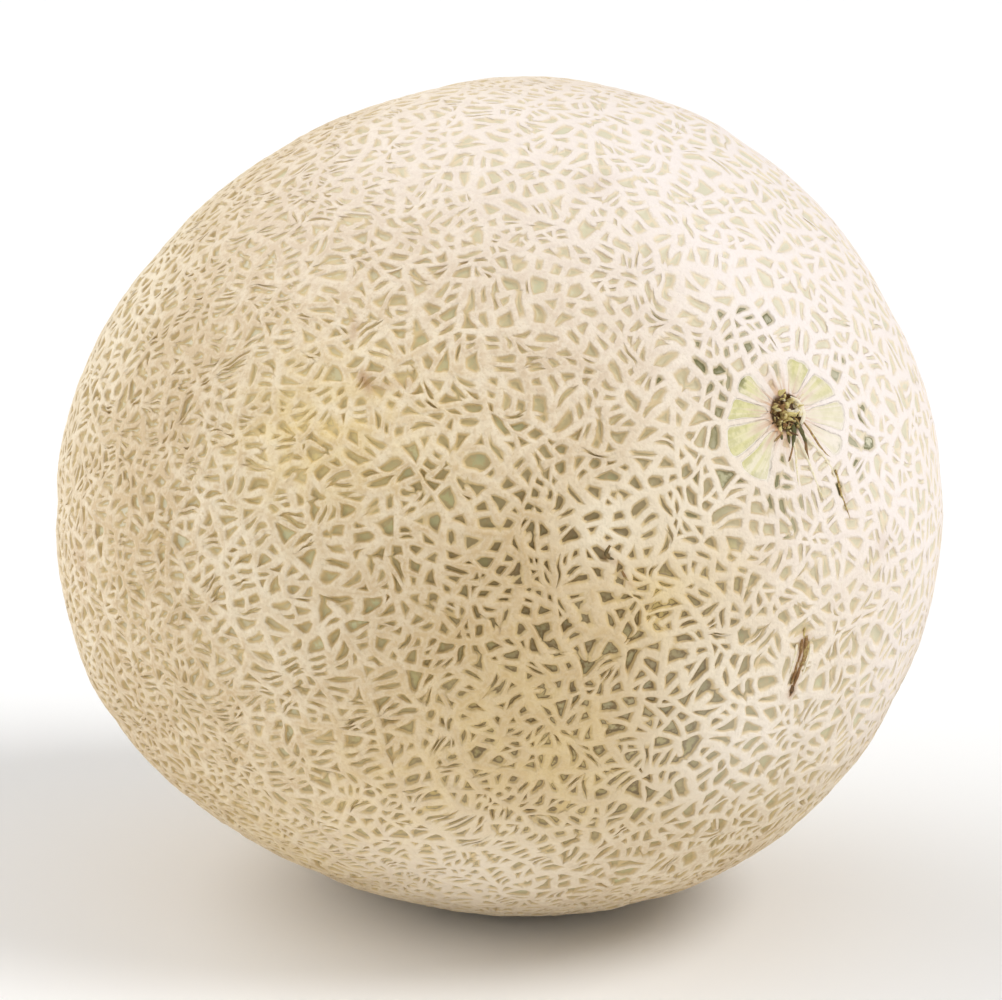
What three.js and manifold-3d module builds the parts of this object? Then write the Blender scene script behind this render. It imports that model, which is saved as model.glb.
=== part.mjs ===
// A netted cantaloupe melon, whole, as picked, lying on its flat ground spot.
// Millimetres, +Z up. The origin is on the surface that the melon lies on, straight below its middle.
// The stem end faces +X and is tipped up, and the blossom end faces -X and down.
// The corky net is raised on the rind, a few times coarser than on the real fruit.

import * as THREE from "three";
import { ConvexHull } from "three/addons/math/ConvexHull.js";
import { mergeVertices } from "three/addons/utils/BufferGeometryUtils.js";
import Module from "manifold-3d";

// Body
const LENGTH = 168; // stem end to blossom end
const WIDTH = 146; // across the middle
const STEM_RISE = 19.5; // degrees that the stem end is tipped up from level
const RESTING_HEIGHT = 70.3; // middle of the melon above its flat ground spot
const SUTURES = 10; // shallow grooves from end to end
const SUTURE_TURN = 5; // degrees from the underside round to the first groove
const SUTURE_DEPTH = 0.6;
const SUTURE_SPREAD = 5; // half width of a groove
const STEM_DIMPLE = { depth: 1.6, spread: 13 };
const BLOSSOM_DIMPLE = { depth: 0.8, spread: 12 };

// Low swellings and flats of the flesh. Azimuth runs from +X towards +Y, and a negative rise is a flat.
const SWELLINGS = [
  { azimuth: 115, elevation: 75, spread: 14, rise: 0.9 }, // top, behind
  { azimuth: -145, elevation: 55, spread: 35, rise: -2.0 }, // shoulder towards the blossom end
  { azimuth: -120, elevation: -25, spread: 14, rise: 1.2 }, // front flank, low
  { azimuth: -95, elevation: -70, spread: 45, rise: -3.7 }, // belly
  { azimuth: 40, elevation: -50, spread: 36, rise: 2.8 }, // belly towards the stem end
  { azimuth: 60, elevation: 25, spread: 22, rise: -2.9 }, // rear flank by the stem end
];

// Net
const NET_HEIGHT = 1.3; // crest of a strand above the floor of the mesh beside it
const CREST_DIP = 0.2; // how far the lowest of the crossings lie under the highest
const STRAND_WIDTH = { least: 3.0, most: 4.2 }; // foot to foot
const SPOKE_WIDTH = 1.8; // the finer strands round the stem scar
const MESHES_IN_FIELD = 690;
const FIELD_JITTER = 0.4; // random shift of a mesh, as a share of the pitch
const RELAX_PASSES = 2;
const STRAIGHTENING = 0.5; // how far strands run on straight through their crossings, 0 to 1
const STEM_RINGS = [
  { radius: 0, meshes: 1 }, // the scar itself
  { radius: 8, meshes: 10 }, // smooth petals between the spokes
  { radius: 15.5, meshes: 12 },
];
const BLOSSOM_RINGS = [
  { radius: 0, meshes: 1 }, // the corky button
  { radius: 11, meshes: 9 },
];
const FIELD_CLEAR_OF_STEM = 19;
const FIELD_CLEAR_OF_BLOSSOM = 16;
const STUB_DEPTH = 0.2; // top of the broken fibres, under the rind round the stem scar
const BUTTON_DISH = 0.5; // the blossom scar is dished by this much

const SEED = 20240611;

const HALF_LENGTH = LENGTH / 2;
const HALF_WIDTH = WIDTH / 2;
const degrees = THREE.MathUtils.degToRad;

// Repeatable random numbers from 0 to 1 (mulberry32).
function randomNumbers(seed) {
  let state = seed;
  return () => {
    state = (state + 0x6d2b79f5) | 0;
    let t = Math.imul(state ^ (state >>> 15), 1 | state);
    t = (t + Math.imul(t ^ (t >>> 7), 61 | t)) ^ t;
    return ((t ^ (t >>> 14)) >>> 0) / 4294967296;
  };
}

// Unit vector from the middle of the melon, by azimuth and elevation in degrees.
function towards(azimuth, elevation) {
  const level = Math.cos(degrees(elevation));
  return new THREE.Vector3(
    level * Math.cos(degrees(azimuth)),
    level * Math.sin(degrees(azimuth)),
    Math.sin(degrees(elevation)),
  );
}

// Unit vector at a polar angle from the stem end and a longitude round the stem axis, 0 facing down.
const TIP = degrees(90 - STEM_RISE);
const LEVEL_AXIS = new THREE.Vector3(0, 1, 0);
function fromStemEnd(polar, longitude) {
  return new THREE.Vector3(
    Math.sin(polar) * Math.cos(longitude),
    Math.sin(polar) * Math.sin(longitude),
    Math.cos(polar),
  ).applyAxisAngle(LEVEL_AXIS, TIP);
}
const STEM_AXIS = fromStemEnd(0, 0);

// A bell-shaped bump, 1 at its middle.
const bell = (distance, spread) => Math.exp(-((distance / spread) ** 2));

// Distance from the middle of the melon to the crests of its net, in a direction.
const swellings = SWELLINGS.map((s) => ({
  ...s,
  at: towards(s.azimuth, s.elevation),
}));
function crestRadius(direction) {
  const along = direction.dot(STEM_AXIS);
  const across = Math.sqrt(Math.max(0, 1 - along * along));
  let radius = 1 / Math.hypot(along / HALF_LENGTH, across / HALF_WIDTH);
  for (const s of swellings)
    radius += s.rise * bell(direction.angleTo(s.at), degrees(s.spread));

  const polar = Math.acos(THREE.MathUtils.clamp(along, -1, 1));
  radius -= STEM_DIMPLE.depth * bell(polar * HALF_LENGTH, STEM_DIMPLE.spread);
  radius -=
    BLOSSOM_DIMPLE.depth *
    bell((Math.PI - polar) * HALF_LENGTH, BLOSSOM_DIMPLE.spread);

  const level = direction.clone().applyAxisAngle(LEVEL_AXIS, -TIP);
  const turn = Math.atan2(level.y, level.x) - degrees(SUTURE_TURN);
  const pitch = (2 * Math.PI) / SUTURES;
  const off = turn - pitch * Math.round(turn / pitch);
  const groove = bell(off * across * HALF_WIDTH, SUTURE_SPREAD);
  return radius - SUTURE_DEPTH * across * groove;
}

const crestPoint = (direction, depth = 0) =>
  direction.clone().multiplyScalar(crestRadius(direction) - depth);

// Rings of mesh middles round one end of the melon.
function ringSeeds(rings, atBlossomEnd) {
  return rings.flatMap(({ radius, meshes }) => {
    const arc = radius / HALF_LENGTH;
    const polar = atBlossomEnd ? Math.PI - arc : arc;
    return Array.from({ length: meshes }, (_, i) =>
      fromStemEnd(polar, (2 * Math.PI * (i + 0.5)) / meshes),
    );
  });
}

// Mesh middles over the rest of the rind: a golden-angle spiral, shaken a little.
function fieldSeeds(random) {
  const goldenAngle = Math.PI * (3 - Math.sqrt(5));
  const shake = FIELD_JITTER * Math.sqrt((4 * Math.PI) / MESHES_IN_FIELD);
  const wobble = () => (random() * 2 - 1) * shake;
  const seeds = [];
  for (let i = 0; i < MESHES_IN_FIELD; i += 1) {
    const polar = Math.acos(1 - (2 * i + 1) / MESHES_IN_FIELD);
    const seed = fromStemEnd(polar, goldenAngle * i)
      .add(new THREE.Vector3(wobble(), wobble(), wobble()))
      .normalize();
    const arc = seed.angleTo(STEM_AXIS) * HALF_LENGTH;
    if (
      arc > FIELD_CLEAR_OF_STEM &&
      Math.PI * HALF_LENGTH - arc > FIELD_CLEAR_OF_BLOSSOM
    )
      seeds.push(seed);
  }
  return seeds;
}

// Splits the sphere between the seeds, each part nearest its own seed. The hull of points on a
// sphere joins neighbours, and the normal of each of its faces points at a corner of the split.
// Returns the corners, and for each seed its ring of corners, anticlockwise from outside.
function splitSphere(seeds) {
  const hull = new ConvexHull().setFromPoints(seeds);
  const seedNumber = new Map(seeds.map((seed, i) => [seed, i]));
  const corners = hull.faces.map((face) => face.normal.clone().normalize());
  const rings = seeds.map(() => []);
  hull.faces.forEach((face, corner) => {
    let edge = face.edge;
    do {
      rings[seedNumber.get(edge.head().point)].push(corner);
      edge = edge.next;
    } while (edge !== face.edge);
  });
  rings.forEach((ring, i) => {
    const east = new THREE.Vector3(0.3, 0.5, 0.8).cross(seeds[i]).normalize();
    const north = seeds[i].clone().cross(east);
    const bearing = (c) => Math.atan2(corners[c].dot(north), corners[c].dot(east));
    ring.sort((a, b) => bearing(a) - bearing(b));
  });
  return { corners, rings };
}

const middleOf = (directions) =>
  directions
    .reduce((sum, d) => sum.add(d), new THREE.Vector3())
    .normalize();

// Moves each free seed to the middle of its own part, which evens the net out.
function relax(seeds, fixedSeeds) {
  const { corners, rings } = splitSphere(seeds);
  return seeds.map((seed, i) =>
    i < fixedSeeds ? seed : middleOf(rings[i].map((c) => corners[c])),
  );
}

// For each corner of the net, the two of its three neighbours that a strand runs between most
// nearly straight. The third strand ends against that one.
function throughStrands(corners, rings) {
  const through = corners.map(() => ({ turn: Infinity }));
  rings.forEach((ring) =>
    ring.forEach((c, i) => {
      const before = ring.at(i - 1);
      const after = ring[(i + 1) % ring.length];
      const arriving = corners[c].clone().sub(corners[before]);
      const turn = arriving.angleTo(corners[after].clone().sub(corners[c]));
      if (turn < through[c].turn) through[c] = { turn, before, after };
    }),
  );
  return through;
}

// Draws each free corner towards the line between its through neighbours.
function straighten(corners, through, held) {
  const chord = new THREE.Line3();
  return corners.map((corner, c) => {
    if (held.has(c)) return corner;
    chord.set(corners[through[c].before], corners[through[c].after]);
    const onChord = chord.closestPointToPoint(corner, true, new THREE.Vector3());
    return onChord.lerp(corner, 1 - STRAIGHTENING).normalize();
  });
}

// A corner of a mesh floor: in from the crest's corner, so that half a strand fits on each side.
function floorPoint(before, corner, after, middle, strandWidth) {
  const back = before.clone().sub(corner);
  const ahead = after.clone().sub(corner);
  const inward = middle.clone().sub(corner);
  const reach = strandWidth / 2 / Math.sin(back.angleTo(ahead) / 2);
  const most = 0.6; // a mesh too small for its strands still keeps a floor
  const share = Math.min(most, reach / inward.length());
  return corner.clone().addScaledVector(inward, share).normalize();
}

// Triangles from a ring of crest points down to the floor points inside it.
function slopes(ring, floor) {
  return ring.flatMap((crest, i) => {
    const next = (i + 1) % ring.length;
    return [crest, ring[next], floor[next], crest, floor[next], floor[i]];
  });
}

// Triangles that fill a floor, all from its first point.
function flatFan(floor) {
  return floor.slice(1, -1).flatMap((_, i) => [floor[0], floor[i + 1], floor[i + 2]]);
}

// Triangles that fill a floor, all from a point over or under its middle.
function fanTo(tip, floor) {
  return floor.flatMap((foot, i) => [foot, floor[(i + 1) % floor.length], tip]);
}

// The net: where its crossings are, and which of them go round each mesh.
function layNet(random) {
  const stemSeeds = ringSeeds(STEM_RINGS, false);
  const fixed = [...stemSeeds, ...ringSeeds(BLOSSOM_RINGS, true)];
  let seeds = [...fixed, ...fieldSeeds(random)];
  for (let pass = 0; pass < RELAX_PASSES; pass += 1)
    seeds = relax(seeds, fixed.length);

  const { corners, rings } = splitSphere(seeds);
  const held = new Set(rings.slice(0, fixed.length).flat());
  const through = throughStrands(corners, rings);
  return {
    corners: straighten(corners, through, held),
    rings,
    held,
    stemMeshes: stemSeeds.length,
  };
}

// The netted rind as one closed surface: each mesh has a floor, and a slope up to each crest round it.
function nettedRind() {
  const random = randomNumbers(SEED);
  const { corners, rings, held, stemMeshes } = layNet(random);
  const [stemScar, button] = [0, stemMeshes];
  const points = corners.map((direction, c) =>
    crestPoint(direction, held.has(c) ? 0 : CREST_DIP * random()),
  );

  const addFloor = (ring, middle, width, depth) =>
    ring.map((c, i) => {
      const before = points[ring.at(i - 1)];
      const after = points[ring[(i + 1) % ring.length]];
      const at = floorPoint(before, points[c], after, crestPoint(middle), width);
      return points.push(crestPoint(at, depth)) - 1;
    });

  const triangles = rings.flatMap((ring, mesh) => {
    const { least, most } = STRAND_WIDTH;
    const fieldWidth = least + (most - least) * random();
    const width = mesh < stemMeshes ? SPOKE_WIDTH : fieldWidth;
    const depth = mesh === button ? 0 : NET_HEIGHT;
    const middle = middleOf(ring.map((c) => corners[c]));
    const floor = addFloor(ring, middle, width, depth);
    if (mesh !== stemScar && mesh !== button)
      return [...slopes(ring, floor), ...flatFan(floor)];

    const tipDepth = mesh === stemScar ? STUB_DEPTH : BUTTON_DISH;
    const tip = points.push(crestPoint(middle, tipDepth)) - 1;
    return [...slopes(ring, floor), ...fanTo(tip, floor)];
  });

  const geometry = new THREE.BufferGeometry().setFromPoints(points);
  geometry.setIndex(triangles);
  return geometry;
}

const wasm = await Module();
wasm.setup();

function solidFrom(geometry) {
  const bare = geometry.clone();
  bare.deleteAttribute("normal");
  bare.deleteAttribute("uv");
  const merged = mergeVertices(bare);
  return new wasm.Manifold(
    new wasm.Mesh({
      numProp: 3,
      vertProperties: merged.attributes.position.array,
      triVerts: new Uint32Array(merged.index.array),
    }),
  );
}

function geometryFrom(solid) {
  const { vertProperties, triVerts } = solid.getMesh();
  const geometry = new THREE.BufferGeometry();
  geometry.setAttribute("position", new THREE.BufferAttribute(vertProperties, 3));
  geometry.setIndex(new THREE.BufferAttribute(triVerts, 1));
  const faceted = geometry.toNonIndexed();
  faceted.computeVertexNormals();
  return faceted;
}

// Takes the belly off along a level plane, which leaves the flat ground spot.
function withGroundSpot(solid) {
  const below = new THREE.BoxGeometry(LENGTH, LENGTH, LENGTH);
  below.translate(0, 0, -RESTING_HEIGHT - LENGTH / 2);
  return solid.subtract(solidFrom(below));
}

function melon() {
  const solid = withGroundSpot(solidFrom(nettedRind()));
  const rind = new THREE.MeshStandardMaterial({
    color: new THREE.Color(0.82, 0.72, 0.54),
    roughness: 0.75,
    metalness: 0,
  });
  const mesh = new THREE.Mesh(geometryFrom(solid), rind);
  mesh.name = "melon";
  mesh.position.z = RESTING_HEIGHT;
  return mesh;
}

const cantaloupe = new THREE.Group();
cantaloupe.add(melon());

export default cantaloupe;
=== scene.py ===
"""A netted cantaloupe melon, lying on its flat ground spot on a plain pale floor.

The rind is one skin with a raised corky net. The net is grown as it grows on the fruit: first
cracks divide the rind, and later, finer cracks divide the meshes between them. Lengths are in
metres, and the stem end points along +X and up.
"""

import logging
import math
from dataclasses import dataclass
from enum import Enum

import bpy
import numpy as np
from mathutils import Matrix, Vector
from mathutils.geometry import delaunay_2d_cdt


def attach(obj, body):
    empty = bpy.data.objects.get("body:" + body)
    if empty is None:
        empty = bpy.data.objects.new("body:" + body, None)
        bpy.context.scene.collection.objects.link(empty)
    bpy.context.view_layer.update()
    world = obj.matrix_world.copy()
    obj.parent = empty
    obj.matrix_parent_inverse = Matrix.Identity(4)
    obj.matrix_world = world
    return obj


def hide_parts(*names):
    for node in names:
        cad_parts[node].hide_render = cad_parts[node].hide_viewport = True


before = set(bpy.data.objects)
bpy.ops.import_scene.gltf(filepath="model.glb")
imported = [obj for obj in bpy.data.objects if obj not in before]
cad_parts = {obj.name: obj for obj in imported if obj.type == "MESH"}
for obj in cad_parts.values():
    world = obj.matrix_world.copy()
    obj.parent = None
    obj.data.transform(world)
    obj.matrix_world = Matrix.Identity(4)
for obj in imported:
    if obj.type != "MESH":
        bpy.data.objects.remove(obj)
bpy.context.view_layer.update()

LOG = logging.getLogger("melon")
MM = 0.001
TINY = 1e-6
SAME_PLACE = 1e-9
NOTHING = 1e-20
UP = np.array([0.0, 0.0, 1.0])
Number = float | np.ndarray
Pair = tuple[float, float]
NODE = "melon"
BODY = "root"
FLAT_MAP = "OFBake"


# ---------------------------------------------------------------- numbers


def unit(vectors: np.ndarray) -> np.ndarray:
    """Returns each vector divided by its own length."""
    return vectors / np.maximum(np.linalg.norm(vectors, axis=-1, keepdims=True), NOTHING)


def bell(distance: np.ndarray, spread: float) -> np.ndarray:
    """Returns a bell-shaped bump, exp(-(distance / spread) squared), 1 at its middle."""
    return np.exp(-((distance / spread) ** 2))


def smooth_step(low: float, high: float, value: np.ndarray) -> np.ndarray:
    """Returns 0 below low and 1 above high, with the cubic 3t^2 - 2t^3 between them."""
    t = np.clip((value - low) / (high - low), 0.0, 1.0)
    return t * t * (3.0 - 2.0 * t)


def towards(azimuth: Number, elevation: Number) -> np.ndarray:
    """Returns unit vectors at azimuths from +X towards +Y and at elevations, in degrees."""
    turn, rise = np.radians(azimuth), np.radians(elevation)
    level = np.cos(rise)
    return np.stack([level * np.cos(turn), level * np.sin(turn), np.sin(rise)], axis=-1)


def angle_to(directions: np.ndarray, middle: np.ndarray) -> np.ndarray:
    """Returns the angle in radians between unit vectors and one unit vector."""
    return np.arccos(np.clip(directions @ middle, -1.0, 1.0))


def counted(counts: np.ndarray) -> np.ndarray:
    """Returns 0, 1, 2 and so on up to one less than each count, for one count after another."""
    return np.arange(counts.sum()) - np.repeat(np.cumsum(counts) - counts, counts)


def dots(a: np.ndarray, b: np.ndarray) -> np.ndarray:
    """Returns the scalar product of each two vectors in the last axis."""
    return np.einsum("...i,...i->...", a, b)


class WaveNoise:
    """Smooth noise on the unit sphere: a sum of plane waves in random directions."""

    LENGTHS = (0.7, 1.5)

    def __init__(self, seed: int, wavelength: float, count: int = 28) -> None:
        """Draws the waves.

        Args:
            seed: starts the random draws.
            wavelength: mean length of a wave, in radians of the unit sphere.
            count: number of waves.
        """
        rng = np.random.default_rng(seed)
        ways = unit(rng.normal(size=(count, 3)))
        lengths = wavelength * rng.uniform(*self.LENGTHS, count)
        self.waves = ways * (2 * math.pi / lengths)[:, None]
        self.phases = rng.uniform(0, 2 * math.pi, count)

    def __call__(self, directions: np.ndarray) -> np.ndarray:
        """Returns the sum of sin(wave . direction + phase), scaled to about -1 to 1."""
        total = np.sin(directions @ self.waves.T + self.phases).sum(axis=1)
        return total / math.sqrt(len(self.phases))


@dataclass(frozen=True)
class Blotches:
    """Random blotches over the rind: smooth noise, 0 under its low level and 1 over its high."""

    seed: int
    wavelength: float
    low: float
    high: float

    def mask(self, local: np.ndarray) -> np.ndarray:
        """Returns how far into a blotch each direction lies, 0 to 1."""
        return smooth_step(self.low, self.high, WaveNoise(self.seed, self.wavelength)(local))


@dataclass(frozen=True)
class Patch:
    """A soft-edged patch on the rind. Its strength is a share, or the height of a swelling."""

    azimuth: float
    elevation: float
    spread: float
    strength: float

    def mask(self, world: np.ndarray) -> np.ndarray:
        """Returns the patch's strength at each direction, a bell of the angle from it."""
        away = angle_to(world, towards(self.azimuth, self.elevation))
        return self.strength * bell(away, math.radians(self.spread))


def patches(*rows: tuple[float, float, float, float]) -> tuple[Patch, ...]:
    """Makes patches from rows of azimuth, elevation and spread in degrees, and strength."""
    return tuple(Patch(*row) for row in rows)


# ---------------------------------------------------------------- the fruit's form


@dataclass(frozen=True)
class FruitForm:
    """The smooth form that the tops of the net follow.

    Directions are unit vectors from the middle of the fruit. They are local, with the stem axis
    as z and the underside as x, or they are in the row's frame.
    """

    half_length: float = 84 * MM
    half_width: float = 73 * MM
    stem_rise: float = 19.5
    resting_height: float = 70.3 * MM
    inset: float = 0.26 * MM
    sutures: int = 10
    suture_turn: float = 5.0
    suture_depth: float = 0.45 * MM
    suture_spread: float = 3.4 * MM
    stem_dimple: Pair = (1.6 * MM, 13 * MM)
    blossom_dimple: Pair = (0.8 * MM, 12 * MM)
    unevenness: float = 0.16 * MM
    uneven_seed: int = 5
    uneven_length: float = 0.32
    swellings: tuple[Patch, ...] = patches(
        (115, 75, 14, 0.9 * MM), (-145, 55, 35, -2.0 * MM), (-120, -25, 14, 1.2 * MM),
        (-95, -70, 45, -3.7 * MM), (40, -50, 36, 2.8 * MM), (60, 25, 22, -2.9 * MM),
    )

    @property
    def turn(self) -> np.ndarray:
        """Returns the matrix that turns local directions into the row's frame."""
        tip = math.radians(90 - self.stem_rise)
        return np.array(Matrix.Rotation(tip, 3, "Y"))

    @property
    def middle(self) -> np.ndarray:
        """Returns the middle of the fruit in the row's frame."""
        return np.array([0.0, 0.0, self.resting_height])

    def off_suture(self, local: np.ndarray) -> np.ndarray:
        """Returns each direction's distance round the fruit from the nearest suture, signed."""
        longitude = np.arctan2(local[:, 1], local[:, 0]) - math.radians(self.suture_turn)
        pitch = 2 * math.pi / self.sutures
        off = longitude - pitch * np.round(longitude / pitch)
        return off * np.hypot(local[:, 0], local[:, 1]) * self.half_width

    def from_stem(self, local: np.ndarray) -> np.ndarray:
        """Returns each direction's distance along the rind from the stem end."""
        return np.arccos(np.clip(local[:, 2], -1, 1)) * self.half_length

    def at_end(self, distance: np.ndarray, bearing: np.ndarray, end: int = 1) -> np.ndarray:
        """Returns local directions at distances along the rind from an end, in a bearing.

        Args:
            distance: distances along the rind, in metres.
            bearing: angles round the end, in degrees.
            end: 1 for the stem end, -1 for the blossom end.

        Returns:
            One direction for each distance.
        """
        arc, turn = distance / self.half_length, np.radians(bearing)
        flat = np.sin(arc)
        return np.stack([flat * np.cos(turn), flat * np.sin(turn), end * np.cos(arc)], axis=-1)

    def free_radius(self, local: np.ndarray) -> np.ndarray:
        """Returns the distance from the middle to the net's tops, as if nothing lay under it.

        It is an ellipsoid of revolution round the stem axis, plus a bell for each swelling,
        less a bell for the dimple at each end and one across each suture.
        """
        world = local @ self.turn.T
        across = np.hypot(local[:, 0], local[:, 1])
        radius = 1 / np.hypot(local[:, 2] / self.half_length, across / self.half_width)
        for swelling in self.swellings:
            radius = radius + swelling.mask(world)
        stem = self.from_stem(local)
        blossom = math.pi * self.half_length - stem
        radius = radius - self.stem_dimple[0] * bell(stem, self.stem_dimple[1])
        radius = radius - self.blossom_dimple[0] * bell(blossom, self.blossom_dimple[1])
        groove = bell(self.off_suture(local), self.suture_spread)
        radius = radius - self.suture_depth * across * groove
        uneven = WaveNoise(self.uneven_seed, self.uneven_length)(local)
        return radius + self.unevenness * uneven - self.inset

    def pressed(self, local: np.ndarray) -> np.ndarray:
        """Returns how far the level surface underneath presses each direction in."""
        world = local @ self.turn.T
        down = np.maximum(-world[:, 2], TINY)
        return np.maximum(self.free_radius(local) - self.resting_height / down, 0.0)

    def points(self, local: np.ndarray, depth: np.ndarray) -> np.ndarray:
        """Returns the points of the rind in the row's frame.

        Args:
            local: directions from the middle.
            depth: how far under the net's tops each point lies.

        Returns:
            One point for each direction.
        """
        radius = self.free_radius(local) - self.pressed(local) - depth
        return self.middle + (local * radius[:, None]) @ self.turn.T


# ---------------------------------------------------------------- marks on the rind


@dataclass(frozen=True)
class Line:
    """A crack along the rind, through points given by azimuth and elevation."""

    points: tuple[Pair, ...]
    width: float
    strength: float

    def mask(self, world: np.ndarray, radius: float) -> np.ndarray:
        """Returns the line's strength at each direction, a bell of the distance from it."""
        corners = [towards(*point) for point in self.points]
        nearest = np.full(len(world), np.inf)
        for a, b in zip(corners, corners[1:]):
            along = b - a
            share = np.clip((world - a) @ along / (along @ along), 0.0, 1.0)
            gap = np.linalg.norm(world - (a + share[:, None] * along), axis=1) * radius
            nearest = np.minimum(nearest, gap)
        return self.strength * bell(nearest, self.width)


@dataclass(frozen=True)
class Marks:
    """Where the rind is yellow, pale, olive, tanned or scarred.

    Pale patches are partly the rind's own paler colour and partly painted light, and olive
    patches are partly the skin's own colour and partly painted shade. Cork is whiter in the
    chalk-white patches, partly its own colour and partly painted light, and the net is finer
    where the rind is wrinkled.
    """

    yellow: tuple[Patch, ...] = patches(
        (-60, 19.5, 9, 0.85), (-47, 22, 9, 0.35), (-17.6, 1.2, 4.5, 0.9), (-10, 4, 3.0, 0.6),
        (-36, -16, 14, 0.35), (-53, -28, 10, 0.6), (-43, -42, 13, 0.4), (-24, -22, 12, 0.45),
        (-78, -48, 16, 0.5), (140, 20, 14, 0.6), (95, -10, 9, 0.5), (-140, 5, 11, 0.5),
    )
    # Partly painted light: most of these lie towards the key light, and some low down where little
    # light reaches.
    pale: tuple[Patch, ...] = patches(
        (8, 34, 22, 0.85), (-10, 66, 26, 0.6), (27, 10, 21, 0.9), (50, 45, 28, 0.75),
        (2, 6, 11, 0.3), (24, -16, 15, 0.6), (-3, -18, 11, 0.4), (-45, -48, 20, 0.35),
        (-65, 58, 20, 0.35), (-30, 42, 14, 0.15),
    )
    # Partly painted light: whiter cork, as low on the fruit where little light reaches.
    chalky_and_lit: tuple[Patch, ...] = patches(
        (-3, -18, 14, 0.8), (-13, 13, 9, 0.6), (-24, 9, 4.5, 0.6), (-12, -6, 8, 0.4),
        (-38, -43, 14, 0.6), (-62, -2, 10, 0.3), (110, 35, 18, 0.5), (170, 5, 18, 0.5),
        (-120, 30, 18, 0.5),
    )
    tanned: tuple[Patch, ...] = patches(
        (-75, 39, 20, 0.75), (-92, 10, 18, 0.6), (-76, -16, 18, 0.5), (-20, -14, 12, 0.3),
        (140, 25, 30, 0.5), (-150, 30, 30, 0.5),
    )
    wrinkled: tuple[Patch, ...] = patches(
        (-22, 5, 8, 1.0), (-0.6, -4, 9, 0.9), (-30, 36, 16, 1.0), (-32, 4, 13, 0.9),
        (-34, -19, 15, 0.7), (-77, 38, 19, 1.0), (-75, -30, 16, 0.6), (120, 35, 14, 0.7),
        (150, -20, 12, 0.7),
    )
    scars: tuple[Patch, ...] = patches(
        (-50.0, 25.5, 1.6, 0.2), (-16.6, 50, 2.6, 0.12), (12.7, 3.7, 1.2, 0.35),
        (-105, -2, 5.0, 0.18), (150, -15, 3.0, 0.5), (80, 40, 3.5, 0.4),
    )
    cracks: tuple[Line, ...] = (
        Line(((0.9, -4.6), (0.9, -8.0), (0.7, -12.2)), 0.75 * MM, 0.75),
        Line(((-23.1, 7.6), (-23.5, 6.7), (-23.3, 6.0), (-22.2, 5.4)), 0.4 * MM, 0.5),
        Line(((-21.9, 4.4), (-20.7, 2.9)), 0.35 * MM, 0.45),
        Line(((5.4, 12.0), (6.4, 9.2), (6.8, 7.2)), 0.25 * MM, 0.3),
        Line(((-54.8, 33.2), (-54.4, 31.0)), 0.7 * MM, 0.75),
        Line(((-52.3, 26.2), (-51.0, 24.6)), 0.9 * MM, 0.6),
        Line(((-49.8, 24.9), (-45.8, 25.5)), 0.75 * MM, 0.6),
        Line(((122, 30), (126, 24), (128, 17)), 0.6 * MM, 0.5),
    )
    # Partly painted shade: pits darkest low on the side facing the camera, where light falls
    # least.
    olive: tuple[Patch, ...] = patches(
        (-30, -20, 20, 0.95), (-20, -14, 12, 0.9), (-14, 13, 7, 0.35), (-9, -17, 8, 0.15),
        (-76, -18, 15, 0.35), (-92, 8, 14, 0.15), (-11, 0, 8, 0.55), (-45, -46, 14, 0.35),
        (-26, 6, 11, 0.8), (-40, 8, 12, 0.35), (-62, -55, 26, 0.3), (60, -40, 26, 0.6),
        (-150, -30, 30, 0.6),
    )

    def cracked(self, world: np.ndarray, radius: float) -> np.ndarray:
        """Returns the strength of the strongest crack at each direction."""
        return np.max([crack.mask(world, radius) for crack in self.cracks], axis=0)

    @staticmethod
    def total(several: tuple[Patch, ...], world: np.ndarray) -> np.ndarray:
        """Returns the strength of patches together at each direction, at most 1."""
        return np.clip(sum(patch.mask(world) for patch in several), 0.0, 1.0)


# ---------------------------------------------------------------- the graph of the net


class Mesh(Enum):
    """What a mesh of the net is, by where it lies."""

    FIELD = 0
    PETAL = 1
    STEM_DISC = 2
    BLOSSOM = 3
    COLLAR = 4


@dataclass(frozen=True)
class Seed:
    """The middle of a first mesh near one end: its distance from the end and its bearing."""

    distance: float
    bearing: float
    kind: Mesh


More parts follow.
